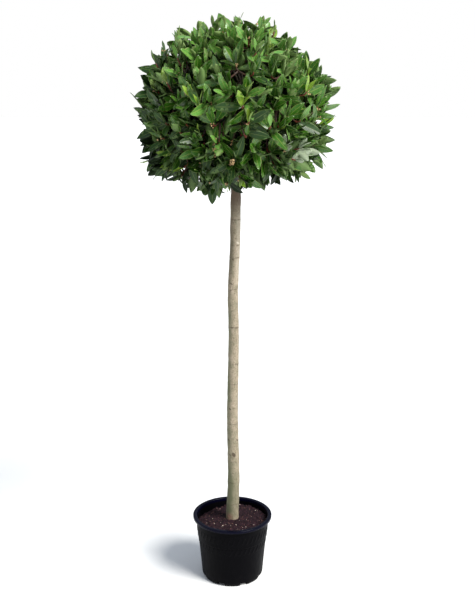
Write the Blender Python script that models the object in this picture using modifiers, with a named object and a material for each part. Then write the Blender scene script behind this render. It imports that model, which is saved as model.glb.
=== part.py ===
"""Standard bay topiary: a clipped round head on a clear stem, growing in a round nursery pot.

Metres, +Z up. The origin is the middle of the pot's flat underside.
Run with: blender --background --python part.py
"""

import math
import random

import bmesh
import bpy
from mathutils import Matrix, Vector
from mathutils.bvhtree import BVHTree

FIT_GAP = 0.0003  # left between two pieces that touch

# Pot
POT_HEIGHT = 0.229
RIM_RADIUS = 0.140
RIM_DEPTH = 0.010
RIM_ROUNDING = 0.0025
COLLAR_TOP_RADIUS = 0.1275
COLLAR_FOOT_RADIUS = 0.1240
COLLAR_FOOT_HEIGHT = 0.153
WALL_TOP_RADIUS = 0.1212
WALL_FOOT_RADIUS = 0.1085
WALL_FOOT_HEIGHT = 0.012
POT_WALL = 0.0024
FOOT_RADIUS = 0.103
FOOT_RING_INNER = 0.088
FOOT_PAD_RADIUS = 0.034
FOOT_LIFT = 0.004  # how far the floor between the pad and the ring is off the ground
FLOOR_TOP = 0.008
DRAIN_SLOTS = 8
DRAIN_SLOT = (0.034, 0.018, 0.011)  # radial length, width, height
POT_STEPS = 32

# Compost
COMPOST_EDGE_HEIGHT = 0.2060
COMPOST_CROWNING = 0.0050
COMPOST_HOLLOW_DEPTH = 0.015  # where the fill has sunk beside the wall
COMPOST_HOLLOW_BEARING = math.radians(150)
COMPOST_FLAT_RADIUS = 0.026  # level patch that the stem stands on

# Trunk
TRUNK_FOOT = COMPOST_EDGE_HEIGHT + COMPOST_CROWNING
TRUNK_HEAD_HEIGHT = 1.388  # where it enters the foliage
TRUNK_TIP_HEIGHT = 1.603
TRUNK_HEAD_RADIUS = 0.0167
TRUNK_SWELL = 0.0050  # extra radius at the foot, lost on the way up
TRUNK_SWELL_POWER = 1.6
ROOT_FLARE = 0.0014
ROOT_FLARE_HEIGHT = 0.030
TRUNK_TIP_RADIUS = 0.0110
TRUNK_RINGS = 26
TRUNK_KINKS = (  # share of the clear height, sideways shift
    (0.00, 0.0000),
    (0.13, 0.0050),
    (0.33, 0.0012),
    (0.59, 0.0056),
    (0.69, 0.0030),
    (0.87, 0.0110),
    (1.00, 0.0130),
    (1.20, 0.0125),
)
TRUNK_BOW = 0.004  # forward and back

# Crown
CROWN_CENTRE = Vector((0.0125, 0.0, 1.655))
CROWN_RADIUS = 0.322
CROWN_RISE = 0.268
CROWN_DROP = 0.262
CROWN_TOP_POWER = 2.15  # 2 is an ellipse, and more is squarer
CROWN_FOOT_POWER = 3.8
TIP_OVERSHOOT = 0.024  # how far a leaf may stand out of the clipped outline
SPACE_GAP = 0.0015  # from a mass to the border of its space
TRUNK_CLEARANCE = 0.004

# Boughs: one leader and a ring of side boughs
SIDE_BOUGHS = ("front", "front_right", "back_right", "back_left", "front_left")
SIDE_BOUGH_BEARING = math.radians(-80)
SIDE_BOUGH_ELEVATION = math.radians(-8)
FORK_HEIGHT = 1.523
FORK_STEP = 0.013  # each side bough leaves the trunk this much above the one before
BOUGH_RADIUS = 0.0085
BOUGH_TIP_RADIUS = 0.0046
BOUGH_POINTS = 5
BOUGH_END_GAP = 0.014  # from a bough's tip to its core

# Foliage
CORE_SHARE = 0.64  # of the crown's reach, to the cores' outer side
HOLLOW_SHARE = 0.57  # of the crown's reach, to the cores' inner side
CORE_TRUNK_GAP = 0.027
STEM_LENGTH = 0.030
STEM_RADIUS = 0.0045
BRANCH_SHARE = 0.605  # of the crown's reach, to where a branch divides into shoots
BRANCHES_PER_MASS = 5
SHOOTS = 106
SHOOT_RADIUS = 0.0034
SHOOT_TIP_RADIUS = 0.0024
SHOOT_SETBACK = 0.062  # from the crown's outline to a shoot's tip
SHOOT_TRIES = 5
LEAVES_PER_SHOOT = 5
LEAF_SPACING = 0.009  # along a shoot
LEAF_LENGTH = 0.094
LEAF_WIDTH_SHARE = 0.45
LEAF_THICKNESS_SHARE = 0.018
LEAF_WIDEST = 0.46  # share of its length
LEAF_DROOP = 0.16
LEAF_DISH = 0.35  # rise to the margins for each unit of half width
LEAF_TRIES = 24
HANGING_LEAF_MASS = "front_left"
HANGING_LEAF_ROOT = Vector((-0.058, -0.092, 1.433))
HANGING_LEAF_TIP = Vector((-0.0635, -0.088, 1.346))
GOLDEN_ANGLE = math.radians(137.50776)
GRAZE = 0.000002
JOIN_TRIES = 12
SEED = 11


# ---------------------------------------------------------------- scene and helpers


def clear_scene():
    for obj in list(bpy.data.objects):
        bpy.data.objects.remove(obj, do_unlink=True)


def new_collection(name, shown=True):
    collection = bpy.data.collections.new(name)
    collection.hide_render = not shown
    bpy.context.scene.collection.children.link(collection)
    return collection


def new_material(name, colour, roughness):
    material = bpy.data.materials.new(name)
    material.use_nodes = True
    shader = material.node_tree.nodes["Principled BSDF"]
    shader.inputs["Base Color"].default_value = (*colour, 1.0)
    shader.inputs["Roughness"].default_value = roughness
    shader.inputs["Metallic"].default_value = 0.0
    return material


def new_object(name, mesh, collection, material=None):
    obj = bpy.data.objects.new(name, mesh)
    collection.objects.link(obj)
    if material:
        mesh.materials.append(material)
    return obj


def mesh_from(bm, name):
    mesh = bpy.data.meshes.new(name)
    bm.to_mesh(mesh)
    bm.free()
    return mesh


def smooth_rounds(mesh, sharp_degrees=35):
    mesh.shade_smooth()
    mesh.set_sharp_from_angle(angle=math.radians(sharp_degrees))


def as_helper(obj):
    obj.hide_render = True
    obj.display_type = "WIRE"
    return obj


def apply_modifiers(obj):
    """Gives obj its evaluated mesh and takes its modifiers off."""
    graph = bpy.context.evaluated_depsgraph_get()
    mesh = bpy.data.meshes.new_from_object(obj.evaluated_get(graph))
    obj.modifiers.clear()
    obj.data = mesh
    return obj


def turned(name, profile, steps, collection, material):
    """A solid of revolution from (radius, height) points that start and end on the axis."""
    mesh = bpy.data.meshes.new(name)
    points = [(radius, 0.0, height) for radius, height in profile]
    mesh.from_pydata(points, [(i, i + 1) for i in range(len(profile) - 1)], [])
    obj = new_object(name, mesh, collection, material)
    screw = obj.modifiers.new("turn", "SCREW")
    screw.steps = steps
    screw.render_steps = steps
    screw.use_merge_vertices = True
    screw.merge_threshold = 0.00005
    screw.use_normal_calculate = True
    apply_modifiers(obj)
    bm = bmesh.new()
    bm.from_mesh(obj.data)
    bmesh.ops.recalc_face_normals(bm, faces=bm.faces)
    bm.to_mesh(obj.data)
    bm.free()
    return obj


def tapered_curve(name, points, radii, sides_resolution):
    """A round limb along points, as a closed mesh object with welded caps."""
    curve = bpy.data.curves.new(name, "CURVE")
    curve.dimensions = "3D"
    curve.bevel_depth = 1.0
    curve.bevel_resolution = sides_resolution
    curve.use_fill_caps = True
    spline = curve.splines.new("POLY")
    spline.points.add(len(points) - 1)
    for knot, point, radius in zip(spline.points, points, radii):
        knot.co = (*point, 1.0)
        knot.radius = radius
    guide = bpy.data.objects.new(name + "_curve", curve)
    bpy.context.scene.collection.objects.link(guide)
    graph = bpy.context.evaluated_depsgraph_get()
    mesh = bpy.data.meshes.new_from_object(guide.evaluated_get(graph))
    bpy.data.objects.remove(guide, do_unlink=True)
    bm = bmesh.new()
    bm.from_mesh(mesh)
    bmesh.ops.remove_doubles(bm, verts=bm.verts, dist=0.00002)
    bmesh.ops.recalc_face_normals(bm, faces=bm.faces)
    bm.to_mesh(mesh)
    bm.free()
    return mesh


# ---------------------------------------------------------------- pot and compost


def pot_radius_outside(height):
    """The outer face of the wall and collar at a height."""
    if height >= COLLAR_FOOT_HEIGHT:
        foot, top = COLLAR_FOOT_HEIGHT, POT_HEIGHT - RIM_DEPTH
        share = (height - foot) / (top - foot)
        return COLLAR_FOOT_RADIUS + share * (COLLAR_TOP_RADIUS - COLLAR_FOOT_RADIUS)
    share = (height - WALL_FOOT_HEIGHT) / (COLLAR_FOOT_HEIGHT - WALL_FOOT_HEIGHT)
    return WALL_FOOT_RADIUS + share * (WALL_TOP_RADIUS - WALL_FOOT_RADIUS)


def pot_radius_inside(height):
    return pot_radius_outside(height) - POT_WALL


def make_pot(collection, helpers, material):
    """Blow-moulded pot: a turned shell with a rolled rim, a collar and slots through its foot."""
    rim_foot = POT_HEIGHT - RIM_DEPTH
    collar_step = COLLAR_FOOT_HEIGHT - 0.002
    corner_height = 0.004
    corner_radius = WALL_FOOT_RADIUS - 0.0035
    outside = [
        (RIM_RADIUS - RIM_ROUNDING, POT_HEIGHT),
        (RIM_RADIUS, POT_HEIGHT - RIM_ROUNDING),
        (RIM_RADIUS, rim_foot + RIM_ROUNDING),
        (RIM_RADIUS - RIM_ROUNDING, rim_foot),
        (pot_radius_outside(rim_foot), rim_foot),
        (COLLAR_FOOT_RADIUS, COLLAR_FOOT_HEIGHT),
        (WALL_TOP_RADIUS, collar_step),
        (WALL_FOOT_RADIUS, WALL_FOOT_HEIGHT),
        (corner_radius, corner_height),
        (FOOT_RADIUS, 0.0),
    ]
    underside = [
        (FOOT_RING_INNER, 0.0),
        (FOOT_RING_INNER - FOOT_LIFT / 2, FOOT_LIFT),
        (FOOT_PAD_RADIUS + FOOT_LIFT / 2, FOOT_LIFT),
        (FOOT_PAD_RADIUS, 0.0),
        (0.0, 0.0),
    ]
    inside = [
        (0.0, FLOOR_TOP),
        (corner_radius - POT_WALL, FLOOR_TOP),
        (pot_radius_inside(WALL_FOOT_HEIGHT) - 0.0008, WALL_FOOT_HEIGHT),
        (pot_radius_inside(collar_step), collar_step),
        (pot_radius_inside(COLLAR_FOOT_HEIGHT + 0.002), COLLAR_FOOT_HEIGHT + 0.002),
        (pot_radius_inside(rim_foot), rim_foot),
        (pot_radius_inside(rim_foot) + 0.0010, POT_HEIGHT),
    ]
    pot = turned("pot", inside + outside + underside, POT_STEPS, collection, material)
    for i in range(DRAIN_SLOTS):
        bearing = (i + 0.5) * 2 * math.pi / DRAIN_SLOTS
        bpy.ops.mesh.primitive_cube_add(size=1)
        slot = as_helper(bpy.context.object)
        slot.name = f"drain_slot_{i + 1}"
        length, width, height = DRAIN_SLOT
        slot.scale = (length, width, 2 * height)
        slot.rotation_euler.z = bearing
        slot.location = Matrix.Rotation(bearing, 3, "Z") @ Vector((WALL_FOOT_RADIUS, 0, 0))
        for other in list(slot.users_collection):
            other.objects.unlink(slot)
        helpers.objects.link(slot)
    cut = pot.modifiers.new("drain_slots", "BOOLEAN")
    cut.operation = "DIFFERENCE"
    cut.operand_type = "COLLECTION"
    cut.collection = helpers
    cut.solver = "EXACT"
    smooth_rounds(pot.data)
    return pot


def compost_surface(x, y):
    """Height of the compost: crowned to the middle, level under the stem, sunk on one side."""
    radius = math.hypot(x, y)
    if radius <= COMPOST_FLAT_RADIUS:
        return TRUNK_FOOT
    rim = pot_radius_inside(COMPOST_EDGE_HEIGHT)
    share = (radius - COMPOST_FLAT_RADIUS) / (rim - COMPOST_FLAT_RADIUS)
    off = math.atan2(y, x) - COMPOST_HOLLOW_BEARING
    hollow = max(0.0, math.cos(off)) ** 3 * share**2 * COMPOST_HOLLOW_DEPTH
    lumps = 0.0012 * math.sin(3 * share * math.pi) * math.sin(5 * math.atan2(y, x))
    return TRUNK_FOOT - COMPOST_CROWNING * share**2 - hollow + lumps


def make_compost(collection, material):
    """The fill, a turned solid whose top ring of points is then set to the surface's height."""
    rings = 4
    edge = pot_radius_inside(COMPOST_EDGE_HEIGHT) - 2 * FIT_GAP
    flat_to_edge = edge - COMPOST_FLAT_RADIUS
    top = [(0.0, TRUNK_FOOT), (COMPOST_FLAT_RADIUS, TRUNK_FOOT)]
    top += [(COMPOST_FLAT_RADIUS + flat_to_edge * i / rings, TRUNK_FOOT) for i in range(1, rings + 1)]
    floor = FLOOR_TOP + FIT_GAP
    side_foot = pot_radius_inside(WALL_FOOT_HEIGHT) - 0.0008
    sides = [
        (pot_radius_inside(0.178) - 2 * FIT_GAP, 0.178),
        (pot_radius_inside(COLLAR_FOOT_HEIGHT - 0.002) - 2 * FIT_GAP, COLLAR_FOOT_HEIGHT - 0.002),
        (side_foot - 2 * FIT_GAP, WALL_FOOT_HEIGHT + FIT_GAP),
        (side_foot - 0.006, floor),
        (0.0, floor),
    ]
    compost = turned("compost", top + sides, POT_STEPS, collection, material)
    for vertex in compost.data.vertices:
        if vertex.co.z > TRUNK_FOOT - 0.001:
            vertex.co.z = compost_surface(vertex.co.x, vertex.co.y)
            limit = pot_radius_inside(vertex.co.z) - 2 * FIT_GAP
            vertex.co.xy *= min(1.0, limit / max(vertex.co.xy.length, 0.001))
    smooth_rounds(compost.data, 50)
    return compost


# ---------------------------------------------------------------- trunk and boughs


def eased(share):
    return share * share * (3 - 2 * share)


def trunk_axis(height):
    """Middle of the trunk at a height: small kinks where old shoots were cut, and a slight bow."""
    share = (height - TRUNK_FOOT) / (TRUNK_HEAD_HEIGHT - TRUNK_FOOT)
    shift = TRUNK_KINKS[-1][1]
    for (low, low_shift), (high, high_shift) in zip(TRUNK_KINKS, TRUNK_KINKS[1:]):
        if low <= share < high:
            part = eased((share - low) / (high - low))
            shift = low_shift + part * (high_shift - low_shift)
    bow = TRUNK_BOW * math.sin(2 * math.pi * min(share, 1.0))
    return Vector((shift, bow, height))


def trunk_radius(height):
    if height > TRUNK_HEAD_HEIGHT:
        share = (height - TRUNK_HEAD_HEIGHT) / (TRUNK_TIP_HEIGHT - TRUNK_HEAD_HEIGHT)
        return TRUNK_HEAD_RADIUS + share * (TRUNK_TIP_RADIUS - TRUNK_HEAD_RADIUS)
    share = (height - TRUNK_FOOT) / (TRUNK_HEAD_HEIGHT - TRUNK_FOOT)
    flare = ROOT_FLARE * math.exp(-(height - TRUNK_FOOT) / ROOT_FLARE_HEIGHT)
    return TRUNK_HEAD_RADIUS + TRUNK_SWELL * (1 - share) ** TRUNK_SWELL_POWER + flare


def trunk_mesh(extra_radius=0.0):
    foot = TRUNK_FOOT + FIT_GAP
    heights = [foot, foot + 0.012, foot + 0.03]
    rise = TRUNK_TIP_HEIGHT - heights[-1]
    heights += [heights[-1] + rise * i / TRUNK_RINGS for i in range(1, TRUNK_RINGS + 1)]
    points = [trunk_axis(height) for height in heights]
    # The first and last rings stand square to the axis, so the foot is cut level
    points[1].xy = points[0].xy
    radii = [trunk_radius(height) + extra_radius for height in heights]
    return tapered_curve("trunk", points, radii, 3)


def make_trunk(collection, material):
    mesh = trunk_mesh()
    smooth_rounds(mesh, 50)
    return new_object("trunk", mesh, collection, material)


def bough_directions():
    """Where each bough's foliage lies, seen from the crown's centre: the leader, then the ring."""
    found = {"top": Vector((0.0, 0.0, 1.0))}
    for i, name in enumerate(SIDE_BOUGHS):
        bearing = SIDE_BOUGH_BEARING + i * 2 * math.pi / len(SIDE_BOUGHS)
        flat = math.cos(SIDE_BOUGH_ELEVATION)
        found[name] = Vector(
            (flat * math.cos(bearing), flat * math.sin(bearing), math.sin(SIDE_BOUGH_ELEVATION))
        )
    return found


def bough_line(name, direction):
    """Points from the trunk to the inner face of the bough's core, rising out of the fork."""
    tip = CROWN_CENTRE + direction * (crown_reach(direction) * HOLLOW_SHARE - BOUGH_END_GAP)
    if name == "top":
        root = trunk_axis(TRUNK_TIP_HEIGHT) + Vector((0, 0, FIT_GAP))
        middle = root.lerp(tip, 0.5)
    else:
        step = SIDE_BOUGHS.index(name) * 2 % len(SIDE_BOUGHS)
        root = trunk_axis(FORK_HEIGHT + step * FORK_STEP)
        outward = Vector((direction.x, direction.y, 0)).normalized()
        middle = root.lerp(tip, 0.5) + outward * 0.014 - Vector((0, 0, 0.012))
    points = []
    for i in range(BOUGH_POINTS):
        share = i / (BOUGH_POINTS - 1)
        first = root.lerp(middle, share)
        second = middle.lerp(tip, share)
        points.append(first.lerp(second, share))
    return points


def make_bough(name, direction, collection, trunk_cutter, material):
    """One tapering limb, cut to the trunk's side where it leaves it."""
    points = bough_line(name, direction)
    last = len(points) - 1
    start = BOUGH_RADIUS if name != "top" else TRUNK_TIP_RADIUS
    radii = [start + (BOUGH_TIP_RADIUS - start) * i / last for i in range(last + 1)]
    bough = new_object(
        f"bough_{name}", tapered_curve(f"bough_{name}", points, radii, 1), collection, material
    )
    if name != "top":
        cut = bough.modifiers.new("trunk_side", "BOOLEAN")
        cut.operation = "DIFFERENCE"
        cut.object = trunk_cutter
        cut.solver = "EXACT"
        apply_modifiers(bough)
    smooth_rounds(bough.data, 50)
    return bough


# ---------------------------------------------------------------- foliage


def crown_reach(direction):
    """From the crown's centre to its clipped outline: an ellipse above, squarer below."""
    flat = math.hypot(direction.x, direction.y) / CROWN_RADIUS
    if direction.z >= 0:
        power, upright = CROWN_TOP_POWER, direction.z / CROWN_RISE
    else:
        power, upright = CROWN_FOOT_POWER, -direction.z / CROWN_DROP
    return (flat**power + upright**power) ** (-1 / power)


class Space:
    """The share of the crown that is nearest in direction to one bough, with flat borders."""

    def __init__(self, name, directions):
        self.direction = directions[name]
        others = [other for key, other in directions.items() if key != name]
        self.borders = [(self.direction - other).normalized() for other in others]

    def owns(self, direction):
        return all(direction.dot(border) > 0 for border in self.borders)

    def holds(self, point):
        offset = point - CROWN_CENTRE
        if any(offset.dot(border) < SPACE_GAP for border in self.borders):
            return False
        if offset.length > crown_reach(offset.normalized()) + TIP_OVERSHOOT:
            return False
        if point.z < TRUNK_TIP_HEIGHT + 0.01:
            away = (point - trunk_axis(point.z)).xy.length
            return away > trunk_radius(max(point.z, TRUNK_FOOT)) + TRUNK_CLEARANCE
        return True


def leaf_mesh():
    """A leaf one unit long on +X with its face to +Z: a four-cornered lens, dished and drooping."""
    bm = bmesh.new()
    bmesh.ops.create_uvsphere(bm, u_segments=4, v_segments=2, radius=1.0)
    for vertex in bm.verts:
        end, side, face = (round(value) for value in vertex.co)
        share = 0.5 * (1 + end) if end else LEAF_WIDEST
        half_width = abs(side) * LEAF_WIDTH_SHARE / 2
        height = -LEAF_DROOP * share * share + LEAF_DISH * half_width
        vertex.co = (share, side * half_width, height + face * LEAF_THICKNESS_SHARE / 2)
    return mesh_from(bm, "leaf")


def leaf_frame(root, along, facing, length):
    """Places the unit leaf: its root, the way its tip points and the way its face looks."""
    x_axis = along.normalized()
    y_axis = facing.cross(x_axis).normalized()
    z_axis = x_axis.cross(y_axis)
    turn = Matrix((x_axis, y_axis, z_axis)).transposed().to_4x4()
    return Matrix.Translation(root) @ turn @ Matrix.Scale(length, 4)


def three_sided(name, start, end, start_radius, end_radius, collection):
    """A straight tapering twig."""
    bm = bmesh.new()
    along = end - start
    turn = along.to_track_quat("Z", "X").to_matrix().to_4x4()
    bmesh.ops.create_cone(
        bm,
        cap_ends=True,
        segments=3,
        radius1=start_radius,
        radius2=end_radius,
        depth=along.length,
        matrix=Matrix.Translation((start + end) / 2) @ turn,
    )
    return new_object(name, mesh_from(bm, name), collection)


def grazing_spots(mesh):
    """Where two surfaces of one solid come so close that they would weld together wrongly."""
    bm = bmesh.new()
    bm.from_mesh(mesh)
    bmesh.ops.triangulate(bm, faces=bm.faces)
    bmesh.ops.remove_doubles(bm, verts=bm.verts, dist=GRAZE)
    spots = [edge.verts[0].co.copy() for edge in bm.edges if len(edge.link_faces) != 2]
    bm.free()
    return spots


def keep_main_body(mesh):
    """Drops loose scraps, and fills any hollow that the union has sealed."""
    bm = bmesh.new()
    bm.from_mesh(mesh)
    left = set(bm.verts)
    bodies = []
    while left:
        body, front = set(), [left.pop()]
        while front:
            vertex = front.pop()
            body.add(vertex)
            near = {edge.other_vert(vertex) for edge in vertex.link_edges} & left
            left -= near
            front.extend(near)
        bodies.append(body)
    bodies.sort(key=len)
    scraps = [vertex for body in bodies[:-1] for vertex in body]
    bmesh.ops.delete(bm, geom=scraps, context="VERTS")
    bm.to_mesh(mesh)
    bm.free()


def small_crown(bm, share, subdivisions):
    """A faceted copy of the crown, at a share of its reach."""
    bmesh.ops.create_icosphere(bm, subdivisions=subdivisions, radius=1.0)
    for vertex in bm.verts:
        direction = vertex.co.normalized()
        vertex.co = CROWN_CENTRE + direction * crown_reach(direction) * share


def make_hollow(collection):
    bm = bmesh.new()
    small_crown(bm, HOLLOW_SHARE, 2)
    return as_helper(new_object("hollow", mesh_from(bm, "hollow"), collection))


def make_core(space, name, hollow, collection, material):
    """The dense inside of a mass: part of a smaller hollow crown, cut to the mass's borders."""
    bm = bmesh.new()
    small_crown(bm, CORE_SHARE, 2)
    cuts = [(CROWN_CENTRE + border * SPACE_GAP, border) for border in space.borders]
    if name != "top":
        outward = Vector((space.direction.x, space.direction.y, 0)).normalized()
        cuts.append((CROWN_CENTRE + outward * CORE_TRUNK_GAP, outward))
    for point, inward in cuts:
        everything = bm.verts[:] + bm.edges[:] + bm.faces[:]
        made = bmesh.ops.bisect_plane(
            bm, geom=everything, dist=1e-6, plane_co=point, plane_no=-inward, clear_outer=True
        )
        rim = [item for item in made["geom_cut"] if isinstance(item, bmesh.types.BMEdge)]
        if rim:
            bmesh.ops.edgeloop_fill(bm, edges=rim)
    bmesh.ops.remove_doubles(bm, verts=bm.verts, dist=0.0005)
    bmesh.ops.dissolve_degenerate(bm, edges=bm.edges, dist=0.0005)
    bmesh.ops.recalc_face_normals(bm, faces=bm.faces)
    core = new_object(f"foliage_{name}", mesh_from(bm, f"foliage_{name}"), collection, material)
    scoop = core.modifiers.new("scoop", "BOOLEAN")
    scoop.operation = "DIFFERENCE"
    scoop.object = hollow
    scoop.solver = "EXACT"
    return apply_modifiers(core)


def spread_directions(count, draw):
    """Evenly spread directions over the crown, each moved a little."""
    found = []
    for i in range(count):
        height = 1 - 2 * (i + 0.5) / count
        flat = math.sqrt(1 - height * height)
        bearing = i * GOLDEN_ANGLE
        direction = Vector((flat * math.cos(bearing), flat * math.sin(bearing), height))
        nudge = Vector([draw.uniform(-1, 1) for _ in range(3)]) * 0.05
        found.append((direction + nudge).normalized())
    return found


def shoot_heading(direction, draw):
    """Shoots grow outwards and turn to the light, except under the crown."""
    lift = 0.35 if direction.z > -0.35 else -0.05
    scatter = Vector([draw.uniform(-1, 1) for _ in range(3)]) * 0.10
    return (direction + Vector((0, 0, lift)) + scatter).normalized()


class Mass:
    """One bough's foliage: a stem, branches, shoots and leaves round a core, fused into one solid."""

    def __init__(self, name, directions, leaf, material):
        self.name = name
        self.space = Space(name, directions)
        self.leaf = leaf
        self.material = material
        self.corners = [vertex.co.copy() for vertex in leaf.vertices]
        self.faces = [tuple(face.vertices) for face in leaf.polygons]
        self.draw = random.Random(f"{SEED} {name}")
        self.pieces = new_collection(f"pieces_{name}", shown=False)
        self.placed = []

    def fits(self, frame):
        """A leaf fits where it stays in the mass's space and crosses no other leaf."""
        points = [frame @ corner for corner in self.corners]
        if not all(self.space.holds(point) for point in points):
            return False
        tree = BVHTree.FromPolygons(points, self.faces)
        middle = sum(points, Vector()) / len(points)
        for other_middle, other in self.placed:
            if (middle - other_middle).length < LEAF_LENGTH and tree.overlap(other):
                return False
        self.placed.append((middle, tree))
        return True

    def add_leaf(self, root, heading, turn, spread, length):
        side = heading.orthogonal().normalized()
        side.rotate(Matrix.Rotation(turn, 3, heading))
        along = heading * math.cos(spread) + side * math.sin(spread)
        facing = heading + Vector((0, 0, 0.5)) - side * 0.3
        frame = leaf_frame(root, along, facing, length)
        if not self.fits(frame):
            return False
        piece = bpy.data.objects.new("leaf", self.leaf)
        piece.matrix_world = frame
        self.pieces.objects.link(piece)
        return True

    def add_shoot(self, number, start, direction):
        """One shoot and its spiral of leaves, the last one at its tip."""
        outline = CROWN_CENTRE + direction * crown_reach(direction)
        for attempt in range(SHOOT_TRIES):
            inward = self.space.direction * 0.25 * attempt
            heading = shoot_heading((direction + inward).normalized(), self.draw)
            tip = outline - heading * SHOOT_SETBACK + inward * 0.02
            if self.space.holds(tip + heading * 0.02):
                break
        else:
            return
        along = (tip - start).normalized()
        three_sided(f"shoot_{number}", start, tip, SHOOT_RADIUS, SHOOT_TIP_RADIUS, self.pieces)
        turn = self.draw.uniform(0, 2 * math.pi)
        spacing = min(LEAF_SPACING, (tip - start).length * 0.9 / LEAVES_PER_SHOOT)
        for i in range(LEAVES_PER_SHOOT):
            root = tip - along * spacing * (i + 0.2)
            turn += GOLDEN_ANGLE
            for attempt in range(LEAF_TRIES):
                wander = attempt / LEAF_TRIES
                spread = math.radians((26, 44, 54, 62, 70)[i] + self.draw.uniform(-8, 8) + 14 * wander)
                length = LEAF_LENGTH * (1 - 0.28 * wander) * self.draw.uniform(0.9, 1.06)
                around = turn + self.draw.uniform(-1, 1) * math.pi * wander
                if self.add_leaf(root, along, around, spread, length):
                    break

    def build(self, bough_end, onward, directions, hollow, collection):
        heading = self.space.direction
        stem_start = bough_end + onward * FIT_GAP
        stem_end = stem_start + onward * STEM_LENGTH
        three_sided("stem", stem_start, stem_end, STEM_RADIUS, STEM_RADIUS * 0.8, self.pieces)
        mine = [direction for direction in directions if self.space.owns(direction)]
        mine.sort(key=lambda direction: math.atan2(*self.across(direction)))
        per_branch = math.ceil(len(mine) / BRANCHES_PER_MASS)
        for branch in range(BRANCHES_PER_MASS):
            share = mine[branch * per_branch : (branch + 1) * per_branch]
            if not share:
                continue
            middle = (sum(share, Vector()) / len(share) + heading * 0.6).normalized()
            joint = CROWN_CENTRE + middle * crown_reach(middle) * BRANCH_SHARE
            three_sided(f"branch_{branch + 1}", stem_end, joint, STEM_RADIUS * 0.8, SHOOT_RADIUS, self.pieces)
            for number, direction in enumerate(share):
                self.add_shoot(f"{branch + 1}_{number + 1}", joint, direction)
        if self.name == HANGING_LEAF_MASS:
            self.add_hanging_leaf()
        solid = self.joined(hollow, collection)
        for piece in list(self.pieces.objects):
            bpy.data.objects.remove(piece, do_unlink=True)
        bpy.data.collections.remove(self.pieces)
        return solid

    def add_hanging_leaf(self):
        """One leaf that has grown below the clipped outline since the last clipping."""
        direction = (HANGING_LEAF_ROOT - CROWN_CENTRE).normalized()
        start = CROWN_CENTRE + direction * crown_reach(direction) * BRANCH_SHARE
        ends = (SHOOT_RADIUS, SHOOT_TIP_RADIUS)
        three_sided("hanging_shoot", start, HANGING_LEAF_ROOT, *ends, self.pieces)
        along = HANGING_LEAF_TIP - HANGING_LEAF_ROOT
        piece = bpy.data.objects.new("leaf", self.leaf)
        root = HANGING_LEAF_ROOT - direction * SHOOT_TIP_RADIUS
        piece.matrix_world = leaf_frame(root, along, Vector((-0.3, -1, 0)), along.length)
        self.pieces.objects.link(piece)

    def joined(self, hollow, collection):
        """The union of the core and every piece. Where two surfaces graze, a leaf is left out."""
        solid = make_core(self.space, self.name, hollow, collection, self.material)
        core = solid.data.copy()
        for attempt in range(JOIN_TRIES):
            join = solid.modifiers.new("join", "BOOLEAN")
            join.operation = "UNION"
            join.operand_type = "COLLECTION"
            join.collection = self.pieces
            join.solver = "MANIFOLD"
            apply_modifiers(solid)
            keep_main_body(solid.data)
            spots = grazing_spots(solid.data)
            if not spots or attempt == JOIN_TRIES - 1:
                break
            for spot in spots:
                self.drop_leaf(spot)
            solid.data = core.copy()
        smooth_rounds(solid.data, 20)
        return solid

    def drop_leaf(self, spot):
        leaves = [piece for piece in self.pieces.objects if piece.data == self.leaf]
        nearest = min(leaves, key=lambda piece: self.distance(piece, spot))
        bpy.data.objects.remove(nearest, do_unlink=True)

    def distance(self, piece, spot):
        """From a spot to the line between a leaf's root and tip."""
        root = piece.matrix_world.translation
        tip = piece.matrix_world @ Vector((1.0, 0.0, 0.0))
        share = (spot - root).dot(tip - root) / (tip - root).length_squared
        return (spot - root.lerp(tip, min(max(share, 0.0), 1.0))).length

    def across(self, direction):
        """Where a direction lies round the mass's own middle."""
        right = self.space.direction.orthogonal().normalized()
        up = self.space.direction.cross(right)
        return direction.dot(right), direction.dot(up)


# ---------------------------------------------------------------- the whole plant


def main():
    clear_scene()
    plant = new_collection("standard_bay")
    helpers = new_collection("cutters")
    plastic = new_material("black_plastic", (0.012, 0.012, 0.014), 0.45)
    soil = new_material("brown_compost", (0.050, 0.030, 0.024), 0.95)
    bark = new_material("grey_bark", (0.36, 0.32, 0.24), 0.80)
    foliage = new_material("bay_leaf", (0.055, 0.135, 0.030), 0.45)

    make_pot(plant, helpers, plastic)
    make_compost(plant, soil)
    make_trunk(plant, bark)

    trunk_cutter = as_helper(new_object("trunk_cutter", trunk_mesh(FIT_GAP), plant))
    hollow = make_hollow(plant)
    directions = bough_directions()
    spread = spread_directions(SHOOTS, random.Random(SEED))
    leaf = leaf_mesh()
    for name, direction in directions.items():
        bough = make_bough(name, direction, plant, trunk_cutter, bark)
        before_end, end = bough_line(name, direction)[-2:]
        onward = (end - before_end).normalized()
        Mass(name, directions, leaf, foliage).build(end, onward, spread, hollow, plant)
    bpy.data.objects.remove(trunk_cutter, do_unlink=True)
    bpy.data.objects.remove(hollow, do_unlink=True)


main()
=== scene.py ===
"""Standard bay topiary in its nursery pot: the finish of every surface.

Metres, +Z up, in the CAD model's own frame: the origin is the middle of the pot's underside.
"""

import math

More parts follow.
